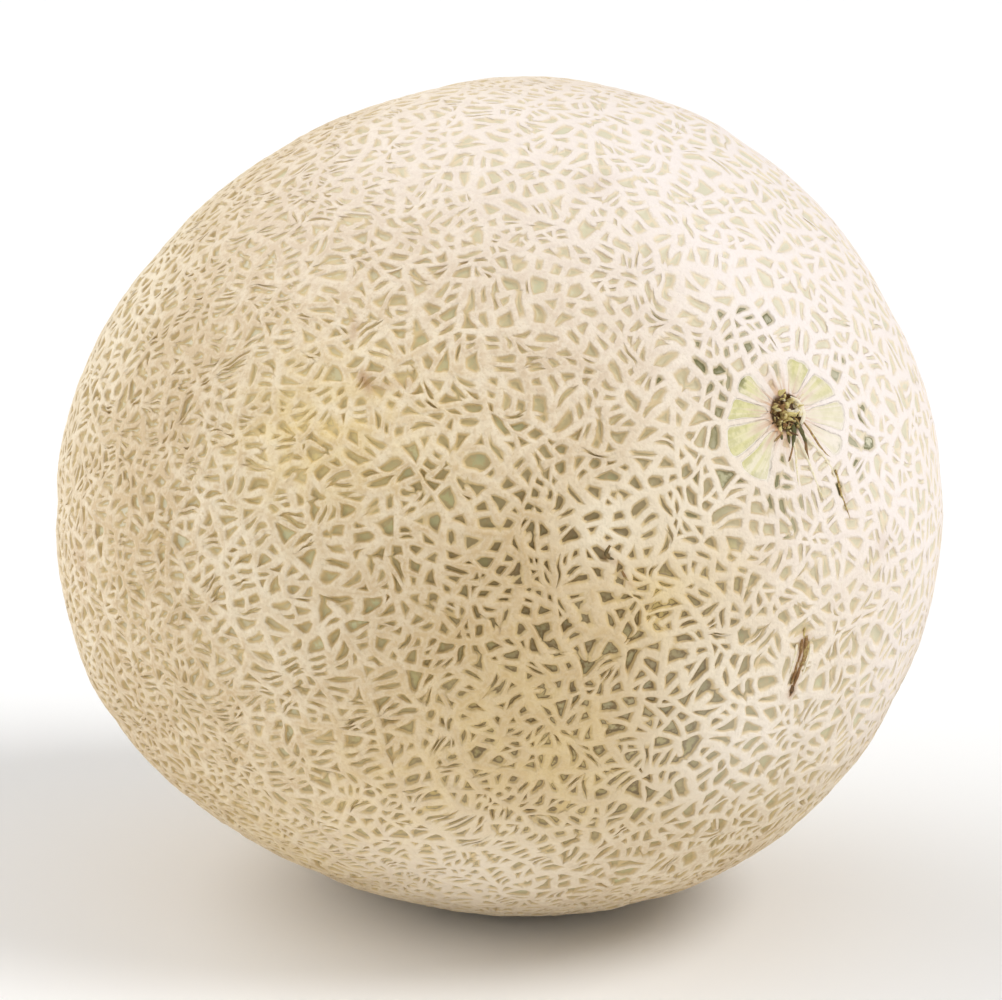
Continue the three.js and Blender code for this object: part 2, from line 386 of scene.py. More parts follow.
@dataclass(frozen=True)
class NetPlan:
    """How the net is laid out and grown. Bearings and leans are in degrees."""

    seed: int = 7
    stem_seed: int = 57
    first_meshes: int = 2300
    shake: float = 0.5
    largest_area: float = 13.2 * MM * MM
    area_play: Pair = (0.6, 1.35)
    shortest_side: float = 1.35 * MM
    stretch: float = 0.46
    stretch_reach: Pair = (52 * MM, 92 * MM)
    stem_reach: float = 26 * MM
    stem_finer: float = 0.35
    suture_reach: float = 4.5 * MM
    suture_finer: float = 0.2
    pale_coarser: float = 0.1
    wrinkled_finer: float = 0.36
    blossom_area: float = 3.5 * MM * MM
    straight_share: Pair = (0.2, 0.8)
    tries: int = 6
    careful_tries: int = 4
    round_aspect: float = 1.25
    slit_aspect: float = 1.5
    slit_places: Pair = (0.25, 0.45)
    snap_below: float = 0.35 * MM
    lean: float = 28.0
    off_middle: float = 0.27
    slit_share: float = 0.07
    least_sine: float = 0.66
    petal_seed: float = 7.0 * MM
    petals: tuple[Pair, ...] = (
        (8, 11.5), (30, 11.5), (54, 12.4), (82, 12.8), (112, 11.2), (150, 10.2),
        (192, 9.0), (232, 10.2), (258, 11.4), (284, 14.6), (316, 13.6), (343, 13.4),
    )
    netted_petals: tuple[float, ...] = (8, 30, 192, 343)
    collar_counts: tuple[int, int] = (22, 30)
    collar_starts: Pair = (4, 9)
    collar_step: float = 3.4 * MM
    collar_play: float = 0.9 * MM
    collar_turn: float = 4.5
    clear_of_collar: float = 2.4 * MM
    button_ring: tuple[float, int] = (6.5 * MM, 9)
    button_collar: tuple[float, int] = (11.5 * MM, 16)
    clear_of_button: float = 14.0 * MM

    def reach(self, bearing: np.ndarray) -> np.ndarray:
        """Returns how far the smooth petals reach from the stem at each bearing in degrees."""
        bearings, reaches = np.array(self.petals).T
        return np.interp(bearing % 360, bearings, reaches * MM, period=360)

    def collar(self, bearing: np.ndarray) -> np.ndarray:
        """Returns the distance of the first ring of meshes beyond the petals."""
        return 2 * self.reach(bearing) - self.petal_seed

    def stem_seeds(self) -> list[Seed]:
        """Returns the mesh middles round the stem: its disc, the petals and two collars."""
        rng = np.random.default_rng(self.stem_seed)
        far, turn = self.collar_play, self.collar_turn
        seeds = [Seed(0.0, 0.0, Mesh.STEM_DISC)]
        for bearing, _ in self.petals:
            kind = Mesh.COLLAR if bearing in self.netted_petals else Mesh.PETAL
            seeds.append(Seed(self.petal_seed, bearing, kind))
        for k, (count, start) in enumerate(zip(self.collar_counts, self.collar_starts)):
            for i in range(count):
                bearing = start + 360 * i / count + rng.uniform(-turn, turn)
                beyond = k * self.collar_step + rng.uniform(-far, far)
                seeds.append(Seed(float(self.collar(bearing)) + beyond, bearing, Mesh.COLLAR))
        return seeds

    def blossom_seeds(self) -> list[Seed]:
        """Returns the mesh middles on the corky button of the blossom end and round it."""
        seeds = [Seed(0.0, 0.0, Mesh.BLOSSOM)]
        for (distance, count), kind in (
            (self.button_ring, Mesh.BLOSSOM), (self.button_collar, Mesh.COLLAR)
        ):
            seeds += [Seed(distance, 360 / count * i, kind) for i in range(count)]
        return seeds


class NetGraph:
    """The net as a half-edge graph on the unit sphere.

    Half-edge h runs from corner origin[h], has its mesh on its left, and twin[h] runs back on
    the other side. strand[h] numbers the crack that it belongs to, and rank[h] is 0 for a first
    crack and higher for a later one.
    """

    def __init__(self, form: FruitForm, plan: NetPlan, marks: Marks) -> None:
        """Lays the first cracks, and grows the later ones."""
        self.form = form
        self.plan = plan
        self.marks = marks
        self.rng = np.random.default_rng(plan.seed)
        seeds, kinds, held = self.seeds()
        seeds = self.relaxed(seeds, held)
        self.first_cracks(seeds, kinds)
        self.straighten(held)
        self.grow()

    def end_seeds(self, seeds: list[Seed], end: int) -> np.ndarray:
        """Returns the directions of seeds near an end of the fruit, 1 for the stem end."""
        distance = np.array([s.distance for s in seeds])
        return self.form.at_end(distance, np.array([s.bearing for s in seeds]), end)

    def seeds(self) -> tuple[np.ndarray, np.ndarray, int]:
        """Returns mesh middles, their kinds, and how many of the first are held in place.

        Those of the field are a golden-angle spiral, z = 1 - (2i + 1) / n and longitude i times
        the golden angle, shaken at random.
        """
        plan, n = self.plan, self.plan.first_meshes
        stem, blossom = plan.stem_seeds(), plan.blossom_seeds()
        self.pole = len(stem)
        i = np.arange(n)
        z = 1 - (2 * i + 1) / n
        longitude = i * math.pi * (3 - math.sqrt(5))
        level = np.sqrt(1 - z * z)
        spiral = np.stack([level * np.cos(longitude), level * np.sin(longitude), z], 1)
        shake = plan.shake * math.sqrt(4 * math.pi / n)
        spiral = unit(spiral + self.rng.uniform(-shake, shake, spiral.shape))
        arc = self.form.from_stem(spiral)
        far = math.pi * self.form.half_length - arc
        bearing = np.degrees(np.arctan2(spiral[:, 1], spiral[:, 0]))
        clear = plan.collar(bearing) + plan.collar_step + plan.clear_of_collar
        spiral = spiral[(arc > clear) & (far > plan.clear_of_button)]
        kinds = [s.kind.value for s in stem + blossom] + [Mesh.FIELD.value] * len(spiral)
        ends = [self.end_seeds(stem, 1), self.end_seeds(blossom, -1)]
        return np.concatenate([*ends, spiral]), np.array(kinds), len(stem + blossom)

    @staticmethod
    def neighbours(seeds: np.ndarray, pole: int) -> np.ndarray:
        """Returns the triangles that join each seed to the seeds nearest round it.

        The seeds are projected from the pole, (x, y) / (1 + z), where circles stay circles, so
        that a flat triangulation is right for the sphere too. Its rim is joined to the pole.

        Args:
            seeds: directions of the mesh middles.
            pole: which seed points along -z.

        Returns:
            Rows of three seed numbers, anticlockwise from outside.
        """
        others = np.delete(np.arange(len(seeds)), pole)
        flat = seeds[others, :2] / (1 + seeds[others, 2:])
        found = delaunay_2d_cdt([Vector(p) for p in flat.tolist()], [], [], 0, SAME_PLACE)
        source = others[np.array([ids[0] for ids in found[3]])]
        inner = source[np.array(found[2])]
        sides = np.concatenate([inner[:, [0, 1]], inner[:, [1, 2]], inner[:, [2, 0]]])
        keys = sides[:, 0] * len(seeds) + sides[:, 1]
        back = sides[:, 1] * len(seeds) + sides[:, 0]
        rim = sides[~np.isin(keys, back)]
        outer = np.column_stack([rim[:, 1], rim[:, 0], np.full(len(rim), pole)])
        triangles = np.concatenate([inner, outer])
        corners = seeds[triangles]
        normal = np.cross(corners[:, 1] - corners[:, 0], corners[:, 2] - corners[:, 0])
        inward = dots(normal, corners.sum(axis=1)) < 0
        triangles[inward] = triangles[inward][:, ::-1]
        return triangles

    @staticmethod
    def meeting_points(seeds: np.ndarray, triangles: np.ndarray) -> np.ndarray:
        """Returns where meshes meet: the normal of the plane through each triangle's seeds."""
        p = seeds[triangles]
        return unit(np.cross(p[:, 1] - p[:, 0], p[:, 2] - p[:, 0]))

    def relaxed(self, seeds: np.ndarray, held: int) -> np.ndarray:
        """Returns the seeds with each free one moved halfway to the middle of its own mesh."""
        triangles = self.neighbours(seeds, self.pole)
        corners = self.meeting_points(seeds, triangles)
        middles = np.zeros_like(seeds)
        for k in range(3):
            np.add.at(middles, triangles[:, k], corners)
        moved = unit(seeds + unit(middles))
        return np.concatenate([seeds[:held], moved[held:]])

    def first_cracks(self, seeds: np.ndarray, kinds: np.ndarray) -> None:
        """Makes the graph in which every point belongs to the mesh of its nearest seed.

        Half-edge 3t + k starts at the middle of triangle t and goes round seed k of it.
        """
        triangles = self.neighbours(seeds, self.pole)
        self.corners = list(self.meeting_points(seeds, triangles))
        n, edges = len(seeds), len(triangles) * 3
        start = triangles.ravel()
        end = np.roll(triangles, -1, axis=1).ravel()
        last = np.roll(triangles, -2, axis=1).ravel()
        keys = start * n + end
        order = np.argsort(keys)
        following = order[np.searchsorted(keys[order], start * n + last)]
        twin = following - following % 3 + (following % 3 + 1) % 3
        preceding = np.empty(edges, int)
        preceding[following] = np.arange(edges)
        pair = np.minimum(np.arange(edges), twin)
        self.origin = (np.arange(edges) // 3).tolist()
        self.twin = twin.tolist()
        self.next = following.tolist()
        self.previous = preceding.tolist()
        self.mesh = start.tolist()
        self.strand = pair.tolist()
        self.rank = [0] * edges
        self.kind = kinds.tolist()
        self.first = [0] * n
        for h, mesh in enumerate(self.mesh):
            self.first[mesh] = h
        self.strands = edges

    def straighten(self, held: int) -> None:
        """Draws each free corner halfway to the line between the two neighbours that a strand
        runs between most nearly straight, so that the third strand ends against that one."""
        corners = np.array(self.corners)
        end = np.array(self.origin)[np.array(self.next)].reshape(-1, 3)
        fixed = (np.array(self.mesh).reshape(-1, 3) < held).any(axis=1)
        ways = unit(corners[end] - corners[:, None])
        k = dots(ways, np.roll(ways, -1, axis=1)).argmin(axis=1)
        rows = np.arange(len(corners))
        a, b = corners[end[rows, k]], corners[end[rows, (k + 1) % 3]]
        along = b - a
        share = np.clip(dots(corners - a, along) / dots(along, along), *self.plan.straight_share)
        moved = unit(corners + a + along * share[:, None])
        self.corners = list(np.where(fixed[:, None], corners, moved))

    def ring(self, mesh: int) -> list[int]:
        """Returns the half-edges round a mesh, anticlockwise."""
        first = self.first[mesh]
        found, h = [first], self.next[first]
        while h != first:
            found.append(h)
            h = self.next[h]
        return found

    def add_half_edge(self, like: int, origin: int) -> int:
        """Adds a half-edge from a corner with the strand, rank and mesh of another."""
        self.origin.append(origin)
        self.twin.append(-1)
        self.next.append(-1)
        self.previous.append(-1)
        self.mesh.append(self.mesh[like])
        self.strand.append(self.strand[like])
        self.rank.append(self.rank[like])
        return len(self.origin) - 1

    def join(self, h: int, following: int) -> None:
        """Makes one half-edge follow another round their mesh."""
        self.next[h] = following
        self.previous[following] = h

    def cut_side(self, h: int, share: float) -> int:
        """Puts a new corner on half-edge h, and returns the half-edge that starts there."""
        back = self.twin[h]
        a = self.corners[self.origin[h]]
        b = self.corners[self.origin[back]]
        self.corners.append(unit(a + (b - a) * share))
        corner = len(self.corners) - 1
        ahead, behind = self.add_half_edge(h, corner), self.add_half_edge(back, corner)
        self.join(ahead, self.next[h])
        self.join(h, ahead)
        self.join(behind, self.next[back])
        self.join(back, behind)
        self.twin[h], self.twin[behind] = behind, h
        self.twin[ahead], self.twin[back] = back, ahead
        return ahead

    def link(self, h: int, g: int, rank: int) -> int:
        """Adds a crack between the corners where half-edges h and g of one mesh start, and
        returns the new mesh, on the side of g."""
        mesh = self.mesh[h]
        out = self.add_half_edge(h, self.origin[g])
        back = self.add_half_edge(h, self.origin[h])
        self.twin[out], self.twin[back] = back, out
        self.strands += 1
        self.strand[out] = self.strand[back] = self.strands
        self.rank[out] = self.rank[back] = rank
        before_h, before_g = self.previous[h], self.previous[g]
        self.join(before_g, out)
        self.join(out, h)
        self.join(before_h, back)
        self.join(back, g)
        self.first[mesh] = h
        self.first.append(g)
        self.kind.append(self.kind[mesh])
        new = len(self.first) - 1
        for k in self.ring(new):
            self.mesh[k] = new
        return new

    def area_wanted(self, middle: np.ndarray, kind: int) -> float:
        """Returns the area over which a mesh divides, smaller near the stem and the sutures."""
        plan, marks, at = self.plan, self.marks, middle[None]
        if kind in (Mesh.PETAL.value, Mesh.STEM_DISC.value):
            return math.inf
        if kind == Mesh.BLOSSOM.value:
            return plan.blossom_area
        world = at @ self.form.turn.T
        stem = float(bell(self.form.from_stem(at), plan.stem_reach)[0])
        suture = float(bell(self.form.off_suture(at), plan.suture_reach)[0])
        pale = float(marks.total(marks.pale, world)[0])
        wrinkled = float(marks.total(marks.wrinkled, world)[0])
        finer = (1 - plan.stem_finer * stem) * (1 - plan.suture_finer * suture)
        finer = finer * (1 + plan.pale_coarser * pale)
        return plan.largest_area * finer * (1 - plan.wrinkled_finer * wrinkled)

    def grow(self) -> None:
        """Divides meshes across until each is small enough, later cracks one rank higher."""
        waiting = [(mesh, 1) for mesh in range(len(self.first))]
        while waiting:
            mesh, rank = waiting.pop()
            new = self.divide(mesh, rank)
            if new is not None:
                waiting += [(mesh, rank + 1), (new, rank + 1)]

    def divide(self, mesh: int, rank: int) -> int | None:
        """Divides a mesh by a nearly straight crack, if it is large enough.

        Far from the stem the mesh is measured squeezed along the way to the stem, so that its
        parts come out longer that way.

        Args:
            mesh: the mesh.
            rank: the new crack's rank.

        Returns:
            The new mesh, or None if it stays whole.
        """
        plan, ring = self.plan, self.ring(mesh)
        p = np.array([self.corners[self.origin[h]] for h in ring])
        ahead = np.roll(p, -1, axis=0)
        length = np.linalg.norm(ahead - p, axis=1)
        middle = unit(((p + ahead) * length[:, None]).sum(axis=0))
        scale = self.form.half_width
        across = unit(np.cross([TINY, 0.0, 1.0], middle))
        outward = np.cross(middle, across)
        away = self.form.from_stem(middle[None])
        squeeze = 1 - plan.stretch * float(smooth_step(*plan.stretch_reach, away)[0])
        flat = np.stack([p @ across, (p @ outward) * squeeze], axis=1) * scale
        after = np.roll(flat, -1, axis=0)
        twice = np.abs(np.sum(flat[:, 0] * after[:, 1] - flat[:, 1] * after[:, 0]))
        area = 0.5 * twice / squeeze
        low, high = plan.area_play
        play = low + (high - low) * self.rng.random()
        if area < self.area_wanted(middle, self.kind[mesh]) * play:
            return None
        weight = length / length.sum()
        centre = ((flat + after) * 0.5 * weight[:, None]).sum(axis=0)
        offsets = (flat + after) * 0.5 - centre
        spread, axes = np.linalg.eigh((offsets * weight[:, None]).T @ offsets)
        aspect = math.sqrt(spread[1] / max(spread[0], TINY**2))
        ways = unit(after - flat)
        for attempt in range(plan.tries):
            slit = aspect < plan.slit_aspect and self.rng.random() < plan.slit_share
            either = aspect < plan.round_aspect and self.rng.random() < 0.5
            long_way = axes[:, 0] if slit or either else axes[:, 1]
            lean = math.radians(self.rng.normal(0, plan.lean))
            cos, sin = math.cos(lean), math.sin(lean)
            along = np.array([[cos, -sin], [sin, cos]]) @ long_way
            reach = np.abs((flat - centre) @ along).max()
            low, high = plan.slit_places if slit else (0.0, plan.off_middle)
            shift = self.rng.uniform(low, high) * reach * self.rng.choice([-1, 1])
            side = (flat - centre) @ along - shift
            if attempt < plan.careful_tries and self.meets_sharply(side, ways, along):
                continue
            cuts = self.cuts(ring, side, length * scale)
            if cuts is not None:
                return self.link(*cuts, rank)
        return None

    def meets_sharply(self, side: np.ndarray, ways: np.ndarray, along: np.ndarray) -> bool:
        """Returns whether a crack across the direction along meets a side at a sharp angle.

        The sine of the angle between the crack and a side is the cosine between the side and
        the direction across the crack.
        """
        crossed = (side < 0) != (np.roll(side, -1) < 0)
        return bool((np.abs(ways[crossed] @ along) < self.plan.least_sine).any())

    def cuts(
        self, ring: list[int], side: np.ndarray, length: np.ndarray
    ) -> tuple[int, int] | None:
        """Finds or makes the two corners where a straight crack meets a mesh's sides.

        Args:
            ring: the mesh's half-edges.
            side: each corner's signed distance from the crack.
            length: each half-edge's length.

        Returns:
            The half-edges that start at the two corners, or None if they would be too close.
        """
        after = np.roll(side, -1)
        crossed = np.flatnonzero((side < 0) != (after < 0))
        if len(crossed) != 2:
            return None
        least, n = self.plan.shortest_side, len(ring)
        chosen = []
        for i in crossed:
            share = side[i] / (side[i] - after[i])
            room = min(least / length[i], 0.5)
            if length[i] < 2 * self.plan.snap_below:
                chosen.append(((i + round(share)) % n, None))
            else:
                chosen.append((i, min(max(share, room), 1 - room)))
        (i, share_i), (j, share_j) = chosen
        starts = [i + (share_i is not None) * 0.5, j + (share_j is not None) * 0.5]
        gap = abs(starts[0] - starts[1])
        if min(gap, n - gap) <= 1.0 or n < 3:
            return None
        h, g = ring[i], ring[j]
        if share_j is not None:
            g = self.cut_side(g, share_j)
        if share_i is not None:
            h = self.cut_side(h, share_i)
        return h, g


# ---------------------------------------------------------------- the skin and its net


@dataclass(frozen=True)
class StrandForm:
    """Sizes of the strands and the pits. Widths are from foot to foot, and heights and depths
    are shares of the net's height. The rings down a pit's wall are the share of the strand's
    half width where each lies, its share of the crest's height, and its mask of cork."""

    seed: int = 107
    net_height: float = 0.88 * MM
    widths: tuple[float, ...] = (1.65 * MM, 1.45 * MM, 1.3 * MM, 1.2 * MM)
    heights: tuple[float, ...] = (1.0, 0.93, 0.86, 0.8)
    width_play: Pair = (0.82, 1.22)
    height_play: Pair = (0.84, 1.0)
    first_height: float = 0.86
    spoke_width: float = 1.15 * MM
    spoke_height: float = 0.9
    spoke_taper: float = 0.6
    taper_reach: Pair = (3.5 * MM, 9 * MM)
    low_share: float = 0.04
    low_heights: Pair = (0.35, 0.6)
    low_narrowing: float = 0.72
    broken_share: float = 0.15
    broken_reach: float = 0.2
    broken_places: Pair = (0.12, 0.34)
    broken_rest: float = 0.35
    broken_thinning: float = 0.8
    stem_ring: Pair = (13 * MM, 6 * MM)
    stem_narrowing: float = 0.28
    pale_widening: float = 0.3
    far_widening: float = 0.22
    pale_lowering: float = 0.5
    tanned_lowering: float = 0.3
    pressed_lowering: float = 0.65
    pressed_reach: float = 1.4 * MM
    crack_filling: float = 0.8
    crack_height: float = 0.72
    sample_pitch: float = 0.88 * MM
    most_samples: int = 9
    straight_turn: float = 4.0
    centring_steps: tuple[float, float, int] = (0.14, 0.02, 16)
    centring_reach: float = 0.18 * MM
    corner_sharpness: float = 9.0
    widest_share: float = 0.82
    wall_share: Pair = (0.05, 0.985)
    rings: tuple[tuple[float, float, float], ...] = (
        (0.42, 0.93, 0.93), (0.77, 0.6, 0.6), (1.0, 0.03, 0.08),
    )
    least_depth: float = 0.62
    deep_room: Pair = (0.05 * MM, 0.4 * MM)
    depth_play: Pair = (0.82, 1.12)
    petal_depth: float = 0.5
    disc_depth: float = 1.5
    blossom_depth: float = 0.45
    least_rise: float = 0.04
    swell: float = 0.12
    swell_room: float = 1.2 * MM
    petal_swell: float = 0.3
    cork_heights: Pair = (0.1, 0.75)
    wander: tuple[tuple[int, float, float], ...] = (
        (11, 0.17, 0.7 * MM), (17, 0.075, 0.24 * MM), (14, 0.034, 0.13 * MM),
    )
    calm_reach: Pair = (9 * MM, 22 * MM)
    calm_wander: float = 0.15
    roughness: tuple[tuple[int, float, float], ...] = ((21, 0.02, 0.03), (22, 0.06, 0.04))
    rough_heights: Pair = (0.3, 0.9)


@dataclass(frozen=True)
class PaintPlan:
    """Where the masks of the rind's finish change, round the stem and from pit to pit.

    A ring is its distance from the stem, its spread and its strength. Bearings are in degrees.
    """

    seed: int = 207
    dark_ring: Pair = (13.5 * MM, 6 * MM)
    dark_share: float = 0.75
    dark_right: float = 0.35
    darkness: Pair = (0.35, 0.9)
    narrow_room: Pair = (0.25 * MM, 0.75 * MM)
    petal_rim: Pair = (-1.7 * MM, -0.3 * MM)
    rim_green: float = 0.8
    petal_tone: Pair = (3.2 * MM, 9 * MM)
    petal_play: float = 0.5
    blanched: tuple[float, float, float] = (36, -0.3, 0.9)
    blanching: float = 0.75
    # Painted shade: the brown ring round the stem hollow and the brown tint round it are stronger
    # towards this bearing, the shaded side.
    shaded: tuple[float, float, float] = (265, -0.2, 0.8)
    least_shade: float = 0.3
    scar_rings: tuple[tuple[float, float, float], ...] = (
        (3.3 * MM, 0.5 * MM, 1.0), (3.6 * MM, 1.6 * MM, 0.35),
    )
    scar_strength: float = 0.8
    halo_ring: Pair = (3 * MM, 3.2 * MM)
    least_halo: float = 0.55
    ground_reach: float = 1.2 * MM
    ground_yellow: float = 0.8
    yellow_shares: Pair = (0.45, 0.65)
    broken: Blotches = Blotches(34, 0.05, -0.8, 0.8)
    rim_broken: Blotches = Blotches(33, 0.035, 0.0, 0.7)
    wide: Blotches = Blotches(31, 0.45, -0.9, 0.9)
    near: Blotches = Blotches(32, 0.075, -0.9, 0.9)


class Rind:
    """The skin with its raised net, worked out as whole arrays of sampled crests."""

    def __init__(self, graph: NetGraph, strands: StrandForm, plan: PaintPlan) -> None:
        """Samples the strands, works out the pits, and places and paints every point."""
        self.form = graph.form
        self.graph = graph
        self.marks = graph.marks
        self.strands = strands
        self.plan = plan
        self.rng = np.random.default_rng(strands.seed)
        self.gather()
        self.sample_crests()
        self.dress_strands()
        self.open_pits()
        self.place_points()
        self.paint()

    def gather(self) -> None:
        """Copies the graph into arrays, with the half-edges in order round each mesh."""
        for name in ("corners", "origin", "twin", "mesh", "rank", "strand", "kind"):
            setattr(self, name, np.array(getattr(self.graph, name)))
        self.end = self.origin[self.twin]
        self.petal = self.kind == Mesh.PETAL.value
        self.disc = self.kind == Mesh.STEM_DISC.value
        self.meshes = len(self.kind)
        rings = [self.graph.ring(mesh) for mesh in range(self.meshes)]
        self.sides = np.array([len(ring) for ring in rings])
        self.order = np.concatenate(rings)

    def sample_crests(self) -> None:
        """Puts samples along each side, at the origin and at even steps after it.

        Both half-edges of a side share their samples, so the skin has no gaps.
        """
        a, b = self.corners[self.origin], self.corners[self.end]
        length = np.linalg.norm(b - a, axis=1)
        steps = np.rint(length * self.form.half_width / self.strands.sample_pitch)
        steps = np.clip(steps, 1, self.strands.most_samples).astype(int)
        main = np.arange(len(self.origin)) < self.twin
        extra = np.where(main, steps - 1, 0)
        base = len(self.corners) + np.cumsum(extra) - extra
        base = np.where(main, base, base[self.twin])
        self.crests = len(self.corners) + int(extra.sum())

        side = self.side_of = np.repeat(self.order, steps[self.order])
        j, n = counted(steps[self.order]), steps[side]
        self.share = j / n
        inner = np.where(main[side], j - 1, n - 1 - j)
        self.crest_of = np.where(j == 0, self.origin[side], base[side] + inner)
        self.crest_at = unit(a[side] + (b - a)[side] * self.share[:, None])
        self.mesh_of = self.mesh[side]
        per_mesh = np.bincount(self.mesh_of, minlength=self.meshes)
        past = np.cumsum(per_mesh)
        self.following = np.arange(len(side)) + 1
        self.following[past - 1] = past - per_mesh

    def dress_strands(self) -> None:
        """Draws each strand's width and height, and which are low or broken off.

        A broken strand sinks almost to the floor over a part of one side, by a bell along it.
        """
        s, rng = self.strands, self.rng
        count = int(self.strand.max()) + 1
        width_play = rng.uniform(*s.width_play, count)
        height_play = rng.uniform(*s.height_play, count)
        is_low = rng.random(count) < s.low_share
        height_play = np.where(is_low, rng.uniform(*s.low_heights, count), height_play)
        rank = np.minimum(self.rank, len(s.widths) - 1)
        width = np.array(s.widths)[rank] * width_play[self.strand]
        height = np.array(s.heights)[rank] * height_play[self.strand]
        middles = unit(self.corners[self.origin] + self.corners[self.end])
        stem = self.form.from_stem(middles)
        pale = self.marks.total(self.marks.pale, middles @ self.form.turn.T)
        near = bell(stem - s.stem_ring[0], s.stem_ring[1])
        far = smooth_step(*self.graph.plan.stretch_reach, stem)
        width = width * (1 + s.pale_widening * pale) * (1 + s.far_widening * far)
        width = width * (1 - s.stem_narrowing * near)
        width = np.where(is_low[self.strand], width * s.low_narrowing, width)
        height = np.where(self.rank == 0, np.maximum(height, s.first_height), height)
        smooth = self.petal | self.disc
        spoke = smooth[self.mesh] & smooth[self.mesh[self.twin]]
        self.width = np.where(spoke, s.spoke_width, width)
        height = np.where(spoke, s.spoke_height, height)

        edges = np.arange(len(self.twin))
        pair = np.minimum(edges, self.twin)
        broken = rng.random(len(pair))[pair] < s.broken_share
        broken &= (self.rank > 0) & ~spoke
        place = rng.uniform(*s.broken_places, len(pair))[pair]
        place = np.where(pair == edges, place, 1 - place)
        deep = rng.uniform(0.0, s.broken_rest, len(pair))[pair]
        side = self.side_of
        sag = bell(self.share - place[side], s.broken_reach) * (1 - deep[side])
        sag = np.where(broken[side] & (self.share > 0), sag, 0.0)
        out = smooth_step(*s.taper_reach, self.form.from_stem(self.crest_at))
        taper = s.spoke_taper * (1 - out) * spoke[side]
        self.thinning = np.maximum(s.broken_thinning * sag, taper)
        self.crest_height = np.zeros(self.crests)
        np.maximum.at(self.crest_height, self.crest_of, height[side] * (1 - sag))

    def mesh_lines(self) -> None:
        """Sets, for each mesh, the plane normals of its sides, padded to the most sides."""
        normal = unit(np.cross(self.corners[self.origin], self.corners[self.end]))
        shape = (self.meshes, int(self.sides.max()))
        at = (self.mesh[self.order], counted(self.sides))
        self.line = np.zeros((*shape, 3))
        self.line[at] = normal[self.order]
        self.line_width = np.zeros(shape)
        self.line_width[at] = self.width[self.order]
        self.is_line = np.zeros(shape, bool)
        self.is_line[at] = True
        previous = np.roll(self.line, 1, axis=1)
        previous[:, 0] = self.line[np.arange(self.meshes), self.sides - 1]
        turn = math.radians(self.strands.straight_turn)
        self.bends = self.is_line & (dots(self.line, previous) <= math.cos(turn))
        self.column_of = np.zeros(len(self.origin), int)
        self.column_of[self.order] = at[1]

    def open_pits(self) -> None:
        """Finds each pit's middle and how far its floor and its walls reach.

        The middle climbs away from the near sides until they are about equally far. Along the
        line from the middle C to a crest P, the point at distance o from a side's plane n is at
        the share (C.n - o) / (C.n - P.n). A pit's outline takes a soft minimum of that share
        over its sides, (sum of share^-p)^(-1/p), which rounds its corners.
        """
        self.mesh_lines()
        s, scale = self.strands, self.form.half_width
        centre = np.zeros((self.meshes, 3))
        np.add.at(centre, self.mesh_of, self.crest_at)
        centre = unit(centre)
        for step in np.linspace(*s.centring_steps) * MM:
            far = dots(self.line, centre[:, None]) * scale - self.line_width / 2
            push = np.where(self.is_line, np.exp(-far / s.centring_reach), 0.0)
            push /= push.sum(axis=1, keepdims=True)
            centre = unit(centre + (push[..., None] * self.line).sum(axis=1) * step / scale)
        self.centre = centre
        far = dots(self.line, centre[:, None]) * scale
        half = np.minimum(self.line_width / 2, s.widest_share * far)
        self.room = np.where(self.is_line, far - half, np.inf).min(axis=1)

        middle = centre[self.mesh_of]
        span = self.crest_at - middle
        lines = self.line[self.mesh_of]
        closing = -dots(lines, span[:, None]) * scale
        own = np.arange(lines.shape[1])[None] == self.column_of[self.side_of][:, None]
        used = (self.bends[self.mesh_of] | own) & (closing > TINY)
        offset = half[self.mesh_of] * np.where(own, 1 - self.thinning[:, None], 1.0)
        least, most = s.wall_share
        self.ring_at = []
        for reach, _, _ in s.rings:
            share = (far[self.mesh_of] - offset * reach) / np.maximum(closing, TINY * MM)
            share = np.where(used, np.maximum(share, least), np.inf)
            soft = (share**-s.corner_sharpness).sum(axis=1) ** (-1 / s.corner_sharpness)
            self.ring_at.append(unit(middle + span * np.minimum(soft, most)[:, None]))

    def warp(self, local: np.ndarray) -> np.ndarray:
        """Returns directions moved a little along the rind, so that straight cracks wander."""
        s = self.strands
        calm = smooth_step(*s.calm_reach, self.form.from_stem(local))[:, None]
        shift = np.zeros_like(local)
        for seed, wavelength, size in s.wander:
            waves = [WaveNoise(seed + axis, wavelength)(local) for axis in range(3)]
            shift = shift + np.stack(waves, axis=1) * size
        shift = shift / self.form.half_width
        return unit(local + shift * (s.calm_wander + (1 - s.calm_wander) * calm))

    def place_points(self) -> None:
        """Places crests, pit walls and floors, and makes the triangles between them."""
        s, n = self.strands, len(self.side_of)
        crest_at = np.zeros((self.crests, 3))
        crest_at[self.crest_of] = self.crest_at
        depth = s.least_depth + (1 - s.least_depth) * smooth_step(*s.deep_room, self.room)
        depth = depth * self.rng.uniform(*s.depth_play, self.meshes)
        depth = np.where(self.petal, s.petal_depth, depth)
        depth = np.where(self.disc, s.disc_depth, depth)
        blossom = self.kind == Mesh.BLOSSOM.value
        floor = 1 - np.where(blossom, depth * s.blossom_depth, depth)
        tops = np.zeros(self.crests)
        np.maximum.at(tops, self.crest_of, floor[self.mesh_of] + s.least_rise)
        self.crest_height = np.maximum(self.crest_height, tops)

        crest, base = self.crest_height[self.crest_of], floor[self.mesh_of]
        stands = smooth_step(*s.cork_heights, self.crest_height)
        swell = np.minimum(self.room / s.swell_room, 1.0) * s.swell
        swell = np.where(self.petal, s.petal_swell, swell)
        rises = [base + (crest - base) * rise for _, rise, _ in s.rings]
        lifts = [stands[self.crest_of] * lift for _, _, lift in s.rings]
        height = np.concatenate([self.crest_height, *rises, floor + swell])
        self.lift = np.concatenate([stands, *lifts, np.zeros(self.meshes)])
        of_mesh = [self.mesh_of] * len(s.rings)
        self.of_mesh = np.concatenate(
            [np.full(self.crests, -1), *of_mesh, np.arange(self.meshes)]
        )

